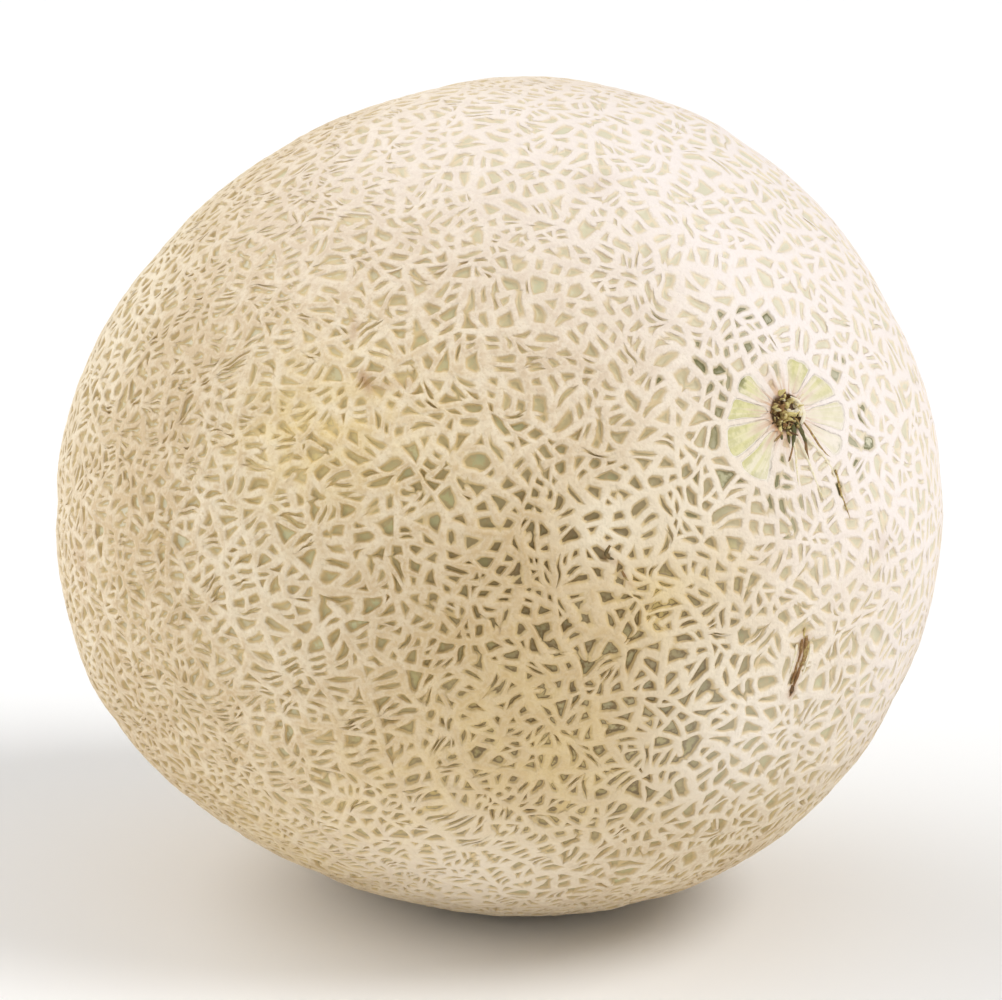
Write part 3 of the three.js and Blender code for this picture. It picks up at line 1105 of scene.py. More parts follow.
        local = self.local = self.warp(np.concatenate([crest_at, *self.ring_at, self.centre]))
        pressed = self.form.pressed(local)
        press = smooth_step(0.0, s.pressed_reach, pressed)
        rough = sum(WaveNoise(seed, length)(local) * size for seed, length, size in s.roughness)
        rough = rough * smooth_step(*s.rough_heights, height)
        world = local @ self.form.turn.T
        filled = s.crack_filling * self.marks.cracked(world, self.form.half_width)
        height = height + filled * (s.crack_height - height)
        relief = s.net_height * (1 - s.pressed_lowering * press)
        relief = relief * (1 - s.pale_lowering * self.marks.total(self.marks.pale, world))
        relief = relief * (1 - s.tanned_lowering * self.marks.total(self.marks.tanned, world))
        depth = (1 - height + rough) * relief
        depth = np.where(press > 0, np.maximum(depth, 0), depth)
        self.points = self.form.points(local, depth)
        self.points[:, 2] = np.maximum(self.points[:, 2], 0.0)
        self.make_triangles(n)

    def make_triangles(self, n: int) -> None:
        """Makes two triangles for each step down a wall, and one from the foot to the middle.

        Args:
            n: how many points each ring down the walls has.
        """
        starts = self.crests + np.arange(len(self.strands.rings)) * n
        levels = [self.crest_of, *(starts[:, None] + np.arange(n))]
        centre = self.crests + len(self.strands.rings) * n + self.mesh_of
        after = self.following
        triangles = []
        for upper, lower in zip(levels, levels[1:]):
            triangles.append(np.stack([upper, upper[after], lower[after]], axis=1))
            triangles.append(np.stack([upper, lower[after], lower], axis=1))
        triangles.append(np.stack([levels[-1], levels[-1][after], centre], axis=1))
        self.triangles = np.concatenate(triangles)
        self.triangle_mesh = np.tile(self.mesh_of, len(triangles))
        self.normals = vertex_normals(self.points, self.triangles)

    @staticmethod
    def facing(bearing: np.ndarray, aim: float, low: float, high: float) -> np.ndarray:
        """Returns 1 at bearings round the stem near the aimed one, and 0 on the far side."""
        return smooth_step(low, high, np.cos(np.radians(bearing - aim)))

    def paint(self) -> None:
        """Works out, at each point, the masks that the rind's finish reads."""
        marks, plan, local = self.marks, self.plan, self.local
        world = local @ self.form.turn.T
        stem = self.form.from_stem(local)
        rng = np.random.default_rng(plan.seed)
        tone = rng.random(self.meshes)
        near = bell(self.form.from_stem(self.centre) - plan.dark_ring[0], plan.dark_ring[1])
        left = plan.dark_right + (1 - plan.dark_right) * (self.centre[:, 1] < 0)
        dark = rng.random(self.meshes) < plan.dark_share * near * left
        dark = dark * rng.uniform(*plan.darkness, self.meshes)
        dark = np.where(self.petal | self.disc, 0.0, dark)
        # Painted shade: slit-like pits get darker colours, as shade falls deep in them.
        narrow_shade = 1 - smooth_step(*plan.narrow_room, self.room)
        inside = self.of_mesh >= 0
        of = np.maximum(self.of_mesh, 0)
        petal = self.petal[of]

        bearing = np.degrees(np.arctan2(local[:, 1], local[:, 0]))
        rim = smooth_step(*plan.petal_rim, stem - self.graph.plan.reach(bearing))
        rim = rim * plan.rim_broken.mask(local) * plan.rim_green
        outer = smooth_step(*plan.petal_tone, stem) + plan.petal_play * (tone[of] - 0.5)
        outer = np.clip(outer, 0, 1) * (1 - plan.blanching * self.facing(bearing, *plan.blanched))

        # Painted shade: the brown ring and tint round the stem are stronger on its shaded side.
        shade = self.facing(bearing, *plan.shaded)
        shade = plan.least_shade + (1 - plan.least_shade) * shade
        rings = sum(bell(stem - far, spread) * size for far, spread, size in plan.scar_rings)
        rings = np.clip(rings, 0, 1) * shade * plan.scar_strength
        cracked = marks.cracked(world, self.form.half_width)
        halo_and_shade = bell(stem - plan.halo_ring[0], plan.halo_ring[1])
        ground = smooth_step(0.0, plan.ground_reach, self.form.pressed(local))
        least, more = plan.yellow_shares
        yellow = marks.total(marks.yellow, world) * (least + more * plan.broken.mask(local))
        self.values = {
            "lift": self.lift,
            "tone": np.where(inside, np.where(petal, outer, tone[of]), 0.5),
            "green": np.where(inside, np.where(petal, rim, dark[of]), 0.0),
            "petal": (inside & petal) * 1.0,
            "hollow": (inside & self.disc[of]) * 1.0,
            "yellow": np.clip(yellow + plan.ground_yellow * ground, 0, 1),
            "scar": np.maximum(np.maximum(marks.total(marks.scars, world), cracked), rings),
            "halo_and_shade": halo_and_shade * (plan.least_halo + (1 - plan.least_halo) * shade),
            "wide": plan.wide.mask(local),
            "near": plan.near.mask(local),
            "narrow_shade": np.where(inside, narrow_shade[of], 0.0),
        }
        for name in ("pale", "olive", "tanned", "chalky_and_lit"):
            self.values[name] = marks.total(getattr(marks, name), world)


def vertex_normals(points: np.ndarray, triangles: np.ndarray) -> np.ndarray:
    """Returns each point's normal, the sum of its triangles' normals weighted by area."""
    p = points[triangles]
    face = np.cross(p[:, 1] - p[:, 0], p[:, 2] - p[:, 0])
    total = np.zeros_like(points)
    for axis in range(3):
        for ids in triangles.T:
            total[:, axis] += np.bincount(ids, weights=face[:, axis], minlength=len(points))
    return unit(total)


# ---------------------------------------------------------------- Blender objects


def new_mesh_object(
    name: str,
    points: np.ndarray,
    triangles: np.ndarray,
    normals: np.ndarray | None = None,
    values: dict[str, np.ndarray] | None = None,
    flat: np.ndarray | None = None,
) -> bpy.types.Object:
    """Makes a smooth-shaded mesh object at the origin.

    Args:
        name: the piece's name.
        points: one row for each point, in metres.
        triangles: rows of three point numbers, anticlockwise from outside.
        normals: the points' normals, or None for Blender's own.
        values: named numbers, one for each point, for the material.
        flat: places on the flat map, two numbers for each corner of each triangle.

    Returns:
        The object, linked to the scene.
    """
    mesh = bpy.data.meshes.new(name)
    mesh.vertices.add(len(points))
    mesh.vertices.foreach_set("co", points.astype(np.float32).ravel())
    mesh.loops.add(triangles.size)
    mesh.loops.foreach_set("vertex_index", triangles.astype(np.int32).ravel())
    mesh.polygons.add(len(triangles))
    mesh.polygons.foreach_set("loop_start", np.arange(0, triangles.size, 3, dtype=np.int32))
    mesh.polygons.foreach_set("use_smooth", np.ones(len(triangles), bool))
    mesh.update(calc_edges=True)
    mesh.validate()
    for key, value in (values or {}).items():
        layer = mesh.attributes.new(key, "FLOAT", "POINT")
        layer.data.foreach_set("value", value.astype(np.float32))
    if flat is not None:
        laid = mesh.uv_layers.new(name=FLAT_MAP)
        laid.data.foreach_set("uv", flat.astype(np.float32).ravel())
    if normals is not None:
        mesh.normals_split_custom_set_from_vertices(normals.tolist())
    piece = bpy.data.objects.new(name, mesh)
    bpy.context.scene.collection.objects.link(piece)
    return piece


def srgb(red: int, green: int, blue: int) -> tuple[float, float, float, float]:
    """Returns a linear colour from display values of 0 to 255.

    Each is ((v + 0.055) / 1.055) to the power 2.4, or v / 12.92 for a very dark one.
    """
    parts = [v / 255 for v in (red, green, blue)]
    linear = [v / 12.92 if v < 0.04045 else ((v + 0.055) / 1.055) ** 2.4 for v in parts]
    return (*linear, 1.0)


Colour = tuple[int, int, int]
Value = float | tuple[float, ...] | bpy.types.NodeSocket


class NodeDesk:
    """A node tree being wired: each method adds one node and returns its output."""

    def __init__(self, tree: bpy.types.NodeTree) -> None:
        """Keeps the tree."""
        self.tree = tree

    def add(self, kind: str, **settings: object) -> bpy.types.Node:
        """Adds a node of the given type with the given properties."""
        node = self.tree.nodes.new(kind)
        for key, value in settings.items():
            setattr(node, key, value)
        return node

    def feed(self, socket: bpy.types.NodeSocket, value: Value) -> None:
        """Links a socket to an output, or sets it to a number, a vector or a display colour."""
        if isinstance(value, bpy.types.NodeSocket):
            self.tree.links.new(value, socket)
        else:
            socket.default_value = srgb(*value) if socket.type == "RGBA" else value

    def attribute(self, name: str) -> bpy.types.NodeSocket:
        """Returns a number kept on the mesh's points."""
        return self.add("ShaderNodeAttribute", attribute_name=name).outputs["Fac"]

    def place(self) -> bpy.types.NodeSocket:
        """Returns the object coordinates."""
        return self.add("ShaderNodeTexCoord").outputs["Object"]

    def noise(self, place: Value, scale: Value, detail: float, rough: float) -> Value:
        """Returns smooth noise around 0.5; scale is in waves per metre."""
        node = self.add("ShaderNodeTexNoise", noise_dimensions="3D")
        names = ("Vector", "Scale", "Detail", "Roughness")
        for name, value in zip(names, (place, scale, detail, rough)):
            self.feed(node.inputs[name], value)
        return node.outputs["Fac"]

    def math(self, operation: str, a: Value, b: Value, clamp: bool = False) -> Value:
        """Returns a sum, product or other operation on two numbers."""
        node = self.add("ShaderNodeMath", operation=operation, use_clamp=clamp)
        self.feed(node.inputs[0], a)
        self.feed(node.inputs[1], b)
        return node.outputs[0]

    def plus(self, a: Value, b: Value, clamp: bool = False) -> Value:
        """Returns a sum, held between 0 and 1 if it is clamped."""
        return self.math("ADD", a, b, clamp)

    def times(self, a: Value, b: Value) -> Value:
        """Returns a product."""
        return self.math("MULTIPLY", a, b)

    def vector(self, operation: str, a: Value, b: Value = (0.0, 0.0, 0.0)) -> Value:
        """Returns a sum, difference or other operation on two vectors."""
        node = self.add("ShaderNodeVectorMath", operation=operation)
        self.feed(node.inputs[0], a)
        self.feed(node.inputs[1], b)
        return node.outputs["Vector"]

    def between(self, value: Value, least: float, more: float) -> Value:
        """Returns the least and more times the value."""
        return self.plus(self.times(value, more), least)

    def step(
        self, value: Value, low: float, high: float, to_low: float = 0.0, to_high: float = 1.0
    ) -> Value:
        """Returns to_low where value is below low, to_high above high, smooth between."""
        node = self.add("ShaderNodeMapRange", interpolation_type="SMOOTHSTEP")
        names = ("Value", "From Min", "From Max", "To Min", "To Max")
        for name, x in zip(names, (value, low, high, to_low, to_high)):
            self.feed(node.inputs[name], x)
        return node.outputs["Result"]

    def mix(self, share: Value, a: Value, b: Value) -> Value:
        """Returns colour a mixed with colour b by share."""
        node = self.add("ShaderNodeMix", data_type="RGBA")
        for name, value in (("Factor", share), ("A", a), ("B", b)):
            self.feed(node.inputs[name], value)
        return node.outputs["Result"]

    def layers(self, colour: Value, *layers: tuple[Value, float, Value]) -> Value:
        """Returns a colour with others laid over it in turn, by mask times share."""
        for mask, share, over in layers:
            colour = self.mix(mask if share == 1 else self.times(mask, share), colour, over)
        return colour


@dataclass(frozen=True)
class Grain:
    """The cork grain that the finishes share, as levels and scales of two noises."""

    detail: float = 2.0
    rough: float = 0.65
    mottle: Pair = (0.38, 0.66)
    speck_scale: float = 2.3
    speck_detail: float = 1.0
    speck_rough: float = 0.6
    speck: Pair = (0.6, 0.74)

    def build(self) -> bpy.types.NodeTree:
        """Makes the node group.

        Returns:
            A group that takes a place and a scale in waves per metre, and gives bumps as a
            height around 0.5, a soft mottle from 0 to 1 and small specks from 0 to 1.
        """
        tree = bpy.data.node_groups.new("grain", "ShaderNodeTree")
        for name, way, kind in (
            ("Place", "INPUT", "Vector"), ("Scale", "INPUT", "Float"),
            ("Height", "OUTPUT", "Float"), ("Mottle", "OUTPUT", "Float"),
            ("Speck", "OUTPUT", "Float"),
        ):
            tree.interface.new_socket(name, in_out=way, socket_type=f"NodeSocket{kind}")
        desk = NodeDesk(tree)
        start, end = desk.add("NodeGroupInput").outputs, desk.add("NodeGroupOutput").inputs
        height = desk.noise(start["Place"], start["Scale"], self.detail, self.rough)
        finer = desk.times(start["Scale"], self.speck_scale)
        speck = desk.noise(start["Place"], finer, self.speck_detail, self.speck_rough)
        desk.feed(end["Height"], height)
        desk.feed(end["Mottle"], desk.step(height, *self.mottle))
        desk.feed(end["Speck"], desk.step(speck, *self.speck))
        return tree


@dataclass(frozen=True)
class Finish:
    """A rough material with the cork grain, read at the object's own coordinates."""

    name: str
    grain_scale: float
    grain_height: float

    def start(self, group: bpy.types.NodeTree) -> tuple[bpy.types.Material, NodeDesk, dict]:
        """Makes the material with a grain.

        Args:
            group: the cork grain.

        Returns:
            The material, a desk on its nodes, and the grain's outputs by name.
        """
        material = bpy.data.materials.new(self.name)
        material.use_nodes = True
        desk = NodeDesk(material.node_tree)
        grain = desk.add("ShaderNodeGroup", node_tree=group)
        desk.feed(grain.inputs["Place"], desk.place())
        desk.feed(grain.inputs["Scale"], self.grain_scale)
        return material, desk, {output.name: output for output in grain.outputs}

    def coat(self, desk: NodeDesk, colour: Value, rough: Value, height: Value) -> None:
        """Gives the shader a colour and a roughness, and bumps it by a height."""
        shader = desk.tree.nodes["Principled BSDF"].inputs
        bump = desk.add("ShaderNodeBump")
        desk.feed(bump.inputs["Distance"], self.grain_height)
        desk.feed(bump.inputs["Height"], height)
        desk.feed(shader["Base Color"], colour)
        desk.feed(shader["Roughness"], rough)
        desk.feed(shader["Normal"], bump.outputs["Normal"])


@dataclass(frozen=True)
class RindFinish(Finish):
    """Colours and roughness of the netted rind: skin in the pits, walls and cork on top.

    Each colour is laid over the ones before it by a mask times a share. The masks are numbers
    on the mesh's points: how high a point stands on a strand (lift), which pit it is in (tone),
    how slit-like its pit is, and how green, yellow, pale, olive, tanned, chalk-white or scarred
    the rind is there. Some colours stand in for light and shade. The dark foot, the tan flanks
    of the strands and the slit-like pits are partly painted shade. The pale and chalk-white
    patches are partly painted light, and the olive patches partly painted shade. The brown tints
    round the stem are painted stronger on its shaded side.
    """

    name: str = "netted_rind"
    grain_scale: float = 760.0
    grain_height: float = 0.38 * MM
    skin: Colour = (192, 186, 132)
    skin_light: Colour = (208, 206, 160)
    skin_pale: Colour = (228, 222, 199)
    skin_olive: Colour = (128, 120, 70)
    skin_dark: Colour = (94, 94, 36)
    petal: Colour = (221, 214, 160)
    petal_light: Colour = (243, 233, 217)
    # Partly painted shade: the petals' olive edge beside the spokes, and the darker band at a
    # strand's foot where shade falls in the crease.
    petal_edge_shade: Colour = (180, 176, 112)
    foot: Colour = (202, 180, 126)
    foot_olive_shade: Colour = (124, 100, 54)
    # Painted shade in slit-like pits.
    slit: Colour = (184, 158, 108)
    slit_olive_shade: Colour = (124, 100, 58)
    # Partly painted shade: the flanks' tan is darker than the crest's cork.
    wall: Colour = (208, 182, 130)
    wall_tan: Colour = (198, 170, 116)
    cork: Colour = (243, 229, 203)
    cork_tan: Colour = (210, 185, 147)
    cork_brown: Colour = (194, 161, 101)
    # Partly painted light: the pale and chalk-white cork.
    cork_pale: Colour = (246, 235, 228)
    cork_chalk: Colour = (246, 234, 208)
    yellow: Colour = (234, 205, 124)
    brown: Colour = (160, 108, 56)
    halo_and_shade: Colour = (204, 158, 112)
    hollow: Colour = (92, 64, 34)
    skin_roughness: float = 0.45
    cork_roughness: float = 0.68
    wobble: float = 0.5
    specked: float = 0.4
    foot_lift: Pair = (0.0, 0.12)
    wall_lift: Pair = (0.12, 0.5)
    cork_lift: Pair = (0.5, 1.0)
    crown_lift: Pair = (0.9, 1.0)
    ragged: Pair = (0.5, 0.6)
    bumpy: Pair = (0.2, 0.8)
    darkened: Pair = (0.12, 0.75)
    streak_noise: tuple[float, float, float] = (8.0, 3.0, 0.6)
    streak_levels: Pair = (0.42, 0.62)
    masks: tuple[str, ...] = (
        "lift", "tone", "green", "petal", "hollow", "yellow", "pale", "olive", "tanned",
        "chalky_and_lit", "scar", "halo_and_shade", "wide", "near", "narrow_shade",
    )

    def build(self, group: bpy.types.NodeTree, form: FruitForm) -> bpy.types.Material:
        """Makes the material: as lift goes up, skin, a dark foot, the wall and then cork."""
        material, desk, grain = self.start(group)
        mask = {name: desk.attribute(name) for name in self.masks}
        mask["streak"] = self.streaks(desk, form)
        wobble = desk.times(desk.plus(grain["Height"], -0.5), self.wobble)
        lift = desk.plus(mask["lift"], wobble)
        is_cork = desk.step(lift, *self.cork_lift)
        scar = desk.times(mask["scar"], desk.between(mask["near"], *self.ragged))
        colour = desk.layers(
            self.skin_colour(desk, mask),
            (desk.step(lift, *self.foot_lift), 1, self.foot_and_shade_colour(desk, mask)),
            (desk.step(lift, *self.wall_lift), 1, self.wall_and_shade_colour(desk, mask)),
            (is_cork, 1, self.cork_colour(desk, mask, grain)),
            # The brown layers hold real scars and cracks, and the brown round the stem, which is
            # painted stronger on its shaded side.
            (desk.plus(scar, 0.0, clamp=True), 1, self.brown),
            (desk.times(mask["halo_and_shade"], mask["streak"]), 0.75, self.halo_and_shade),
            (mask["hollow"], 1, self.hollow),
        )
        rough = desk.step(is_cork, 0.0, 1.0, self.skin_roughness, self.cork_roughness)
        bumpy = desk.times(grain["Height"], desk.between(is_cork, *self.bumpy))
        self.coat(desk, colour, rough, bumpy)
        return material

    def streaks(self, desk: NodeDesk, form: FruitForm) -> Value:
        """Returns streaks that run out from the stem end, 0 to 1.

        The way from the stem end is flattened along the stem axis and brought to unit length,
        and noise is taken there, so that it changes only round the stem.
        """
        tip = form.points(np.array([[0.0, 0.0, 1.0]]), np.zeros(1))[0]
        away = desk.vector("SUBTRACT", desk.place(), tuple(tip))
        along = desk.vector("PROJECT", away, tuple(form.turn[:, 2]))
        way = desk.vector("NORMALIZE", desk.vector("SUBTRACT", away, along))
        return desk.step(desk.noise(way, *self.streak_noise), *self.streak_levels)

    def skin_colour(self, desk: NodeDesk, mask: dict[str, Value]) -> Value:
        """Returns the colour of the pits' floors and of the smooth petals."""
        dull = desk.times(mask["near"], 0.3)
        dull = desk.plus(desk.times(mask["olive"], 0.8), dull, clamp=True)
        # Painted shade: slit-like pits get the darker slit colours and a deeper dark green.
        dark = desk.between(mask["narrow_shade"], *self.darkened)
        return desk.layers(
            desk.mix(mask["tone"], self.skin, self.skin_light),
            (dull, 1, self.skin_olive),
            (mask["narrow_shade"], 0.75, desk.mix(mask["olive"], self.slit, self.slit_olive_shade)),
            # Lighter pits in the pale patches are partly painted light.
            (mask["pale"], 0.85, self.skin_pale),
            (mask["tanned"], 0.85, self.skin_pale),
            (mask["yellow"], 0.7, self.yellow),
            (mask["petal"], 1, self.petal_colour(desk, mask)),
            (desk.times(mask["green"], dark), 1, self.skin_dark),
        )

    def petal_colour(self, desk: NodeDesk, mask: dict[str, Value]) -> Value:
        """Returns the colour of the smooth petals, greener outwards and paler in streaks."""
        tone = desk.plus(mask["tone"], desk.times(mask["near"], 0.25))
        tone = desk.plus(tone, desk.times(mask["streak"], -0.55), clamp=True)
        return desk.mix(tone, self.petal_light, self.petal)

    def foot_and_shade_colour(self, desk: NodeDesk, mask: dict[str, Value]) -> Value:
        """Returns the colour where a strand's flank meets the skin."""
        # Partly painted shade: the foot band where a strand meets the skin, and the petals' olive
        # edge beside the spokes.
        edge = (mask["tone"], 0.45, self.petal_edge_shade)
        return desk.layers(
            self.foot,
            (mask["olive"], 1, self.foot_olive_shade),
            (mask["pale"], 0.9, self.skin_pale),
            (mask["petal"], 1, desk.layers(self.petal_colour(desk, mask), edge)),
            (mask["green"], 1, self.skin_dark),
        )

    def wall_and_shade_colour(self, desk: NodeDesk, mask: dict[str, Value]) -> Value:
        """Returns the colour of the strands' flanks."""
        # Partly painted shade: the tan of the flanks below the crest.
        return desk.layers(
            self.wall,
            (mask["wide"], 1, self.wall_tan),
            (mask["pale"], 0.85, self.cork),
            (mask["yellow"], 0.4, self.yellow),
            (mask["petal"], 1, self.petal_light),
            (mask["green"], 0.2, self.skin_dark),
        )

    def cork_colour(
        self, desk: NodeDesk, mask: dict[str, Value], grain: dict[str, Value]
    ) -> Value:
        """Returns the colour of the strands' crests: light lips and a mottled tan crown."""
        crown = desk.times(desk.step(mask["lift"], *self.crown_lift), mask["near"])
        tan = desk.plus(desk.times(crown, 0.5), desk.times(grain["Mottle"], 0.5))
        tan = desk.plus(tan, desk.times(mask["wide"], 0.25))
        tan = desk.plus(tan, desk.times(mask["tanned"], 0.35), clamp=True)
        return desk.layers(
            self.cork,
            (tan, 1, self.cork_tan),
            (mask["olive"], 0.55, self.cork_brown),
            (grain["Speck"], self.specked, self.wall_tan),
            (mask["yellow"], 0.5, self.yellow),
            (mask["chalky_and_lit"], 1, self.cork_chalk),
            (mask["pale"], 1, self.cork_pale),
        )


def flattened(directions: np.ndarray, middle: np.ndarray) -> np.ndarray:
    """Returns directions laid flat round a middle one, in radians.

    Each lies at its own angle from the middle and in its own bearing from it, so that the map
    has no seam and little stretch.
    """
    upright = abs(middle @ UP) > 1 - TINY
    east = np.eye(3)[0] if upright else unit(np.cross(UP, middle))
    flat = np.stack([directions @ east, directions @ np.cross(middle, east)], axis=1)
    return unit(flat) * angle_to(directions, middle)[:, None]


def fitted(flat: np.ndarray, low: Pair, high: Pair) -> np.ndarray:
    """Returns flat places moved and scaled to fill the box from low to high on the map."""
    least, most = flat.min(axis=(0, 1)), flat.max(axis=(0, 1))
    return np.array(low) + (flat - least) / (most - least) * (np.array(high) - np.array(low))


class RindPieces:
    """The rind cut into wedges from end to end, so that no piece has too many triangles."""

    WEDGES = 5
    HALVES = (((0.01, 0.01), (0.445, 0.99)), ((0.455, 0.01), (0.89, 0.99)))
    INSIDE = ((0.9, 0.01), (0.99, 0.99))
    PETALS_DEPTH = 12 * MM

    def __init__(self, rind: Rind) -> None:
        """Keeps the rind that the pieces are cut from."""
        self.rind = rind
        longitude = np.arctan2(rind.centre[:, 1], rind.centre[:, 0])
        turn = (longitude - math.radians(rind.form.suture_turn)) / (2 * math.pi / self.WEDGES)
        group = np.minimum((turn % self.WEDGES).astype(int), self.WEDGES - 1)
        self.group = np.where(rind.petal | rind.disc, self.WEDGES, group)

    def heading(self, number: int, rise: float) -> np.ndarray:
        """Returns the direction of a wedge's middle line at a latitude; the last is the end."""
        if number == self.WEDGES:
            return UP
        return towards((number + 0.5) * 360 / self.WEDGES + self.rind.form.suture_turn, rise)

    def flat_map(
        self, number: int, picked: np.ndarray, of_mesh: np.ndarray, closing: np.ndarray
    ) -> np.ndarray:
        """Lays a piece flat: its stem half, its blossom half, and the faces inside it.

        Args:
            number: the piece.
            picked: its triangles on the rind.
            of_mesh: the mesh that each of them belongs to.
            closing: the triangles that close it, the last corner of each inside.

        Returns:
            Two numbers for each corner of each triangle.
        """
        local = self.rind.local
        stem_half = (self.rind.centre[of_mesh, 2] > 0) | (number == self.WEDGES)
        flat = np.zeros((len(picked), 3, 2))
        for half, rise, box in zip((stem_half, ~stem_half), (45, -45), self.HALVES):
            if half.any():
                laid = flattened(local[picked[half]].reshape(-1, 3), self.heading(number, rise))
                flat[half] = fitted(laid.reshape(-1, 3, 2), *box)
        inside = np.zeros((len(closing), 3, 2))
        rim = local[closing[:, :2]].reshape(-1, 3)
        inside[:, :2] = flattened(rim, self.heading(number, 0.0)).reshape(-1, 2, 2)
        return np.concatenate([flat, fitted(inside, *self.INSIDE)])

    def build(self) -> list[bpy.types.Object]:
        """Cuts each group of meshes out, closed by triangles to one point inside."""
        rind, form, group = self.rind, self.rind.form, self.group
        own, beyond = group[rind.mesh_of], group[rind.mesh[rind.twin[rind.side_of]]]
        pieces = []
        for number in range(self.WEDGES + 1):
            chosen = group[rind.triangle_mesh] == number
            picked = rind.triangles[chosen]
            open_side = (own == number) & (beyond != number)
            a = rind.crest_of[open_side]
            b = rind.crest_of[rind.following[open_side]]
            closing = np.stack([b, a, np.full(len(a), len(rind.points))], axis=1)
            flat = self.flat_map(number, picked, rind.triangle_mesh[chosen], closing)
            name, inside = f"netted_rind_{number + 1}", form.middle
            if number == self.WEDGES:
                name = "stem_petals"
                inside = inside + form.turn[:, 2] * (form.half_length - self.PETALS_DEPTH)
            points = np.concatenate([rind.points, inside[None]])
            normals = np.concatenate([rind.normals, -form.turn[None, :, 2]])
            used, ids = np.unique(np.concatenate([picked, closing]), return_inverse=True)
            triangles = ids.reshape(-1, 3)
            values = {key: np.append(value, 0.0)[used] for key, value in rind.values.items()}
            piece = new_mesh_object(name, points[used], triangles, normals[used], values, flat)
            LOG.info("%s: %d triangles", name, len(triangles))
            pieces.append(piece)
        return pieces


@dataclass(frozen=True)
class Streak:
    """A dried fibre lying on the rind, through points by two coordinates on it."""

    points: tuple[Pair, ...]
    radius: float
    tone: float
    green: float = 0.0


@dataclass(frozen=True)
class FibreFinish(Finish):
    """Colours of the dried fibres in the stem scar and in the cracks."""

    name: str = "stem_fibres"
    grain_scale: float = 1600.0
    grain_height: float = 0.1 * MM
    dark: Colour = (58, 42, 20)
    brown: Colour = (140, 102, 58)
    straw: Colour = (222, 206, 136)
    pale: Colour = (242, 232, 210)
    olive: Colour = (84, 92, 48)
    roughness: float = 0.7
    wobble: float = 0.6

    def build(self, group: bpy.types.NodeTree) -> bpy.types.Material:
        """Makes the material: a ramp from dark to pale along tone, mixed with olive."""
        material, desk, grain = self.start(group)
        wobble = desk.times(desk.plus(grain["Height"], -0.5), self.wobble)
        tone = desk.plus(desk.attribute("tone"), wobble)
        colour = desk.layers(
            self.dark,
            (desk.step(tone, 0.0, 0.35), 1, self.brown),
            (desk.step(tone, 0.35, 0.7), 1, self.straw),
            (desk.step(tone, 0.7, 1.0), 1, self.pale),
            (desk.attribute("green"), 1, self.olive),
        )
        self.coat(desk, colour, self.roughness, grain["Height"])
        return material


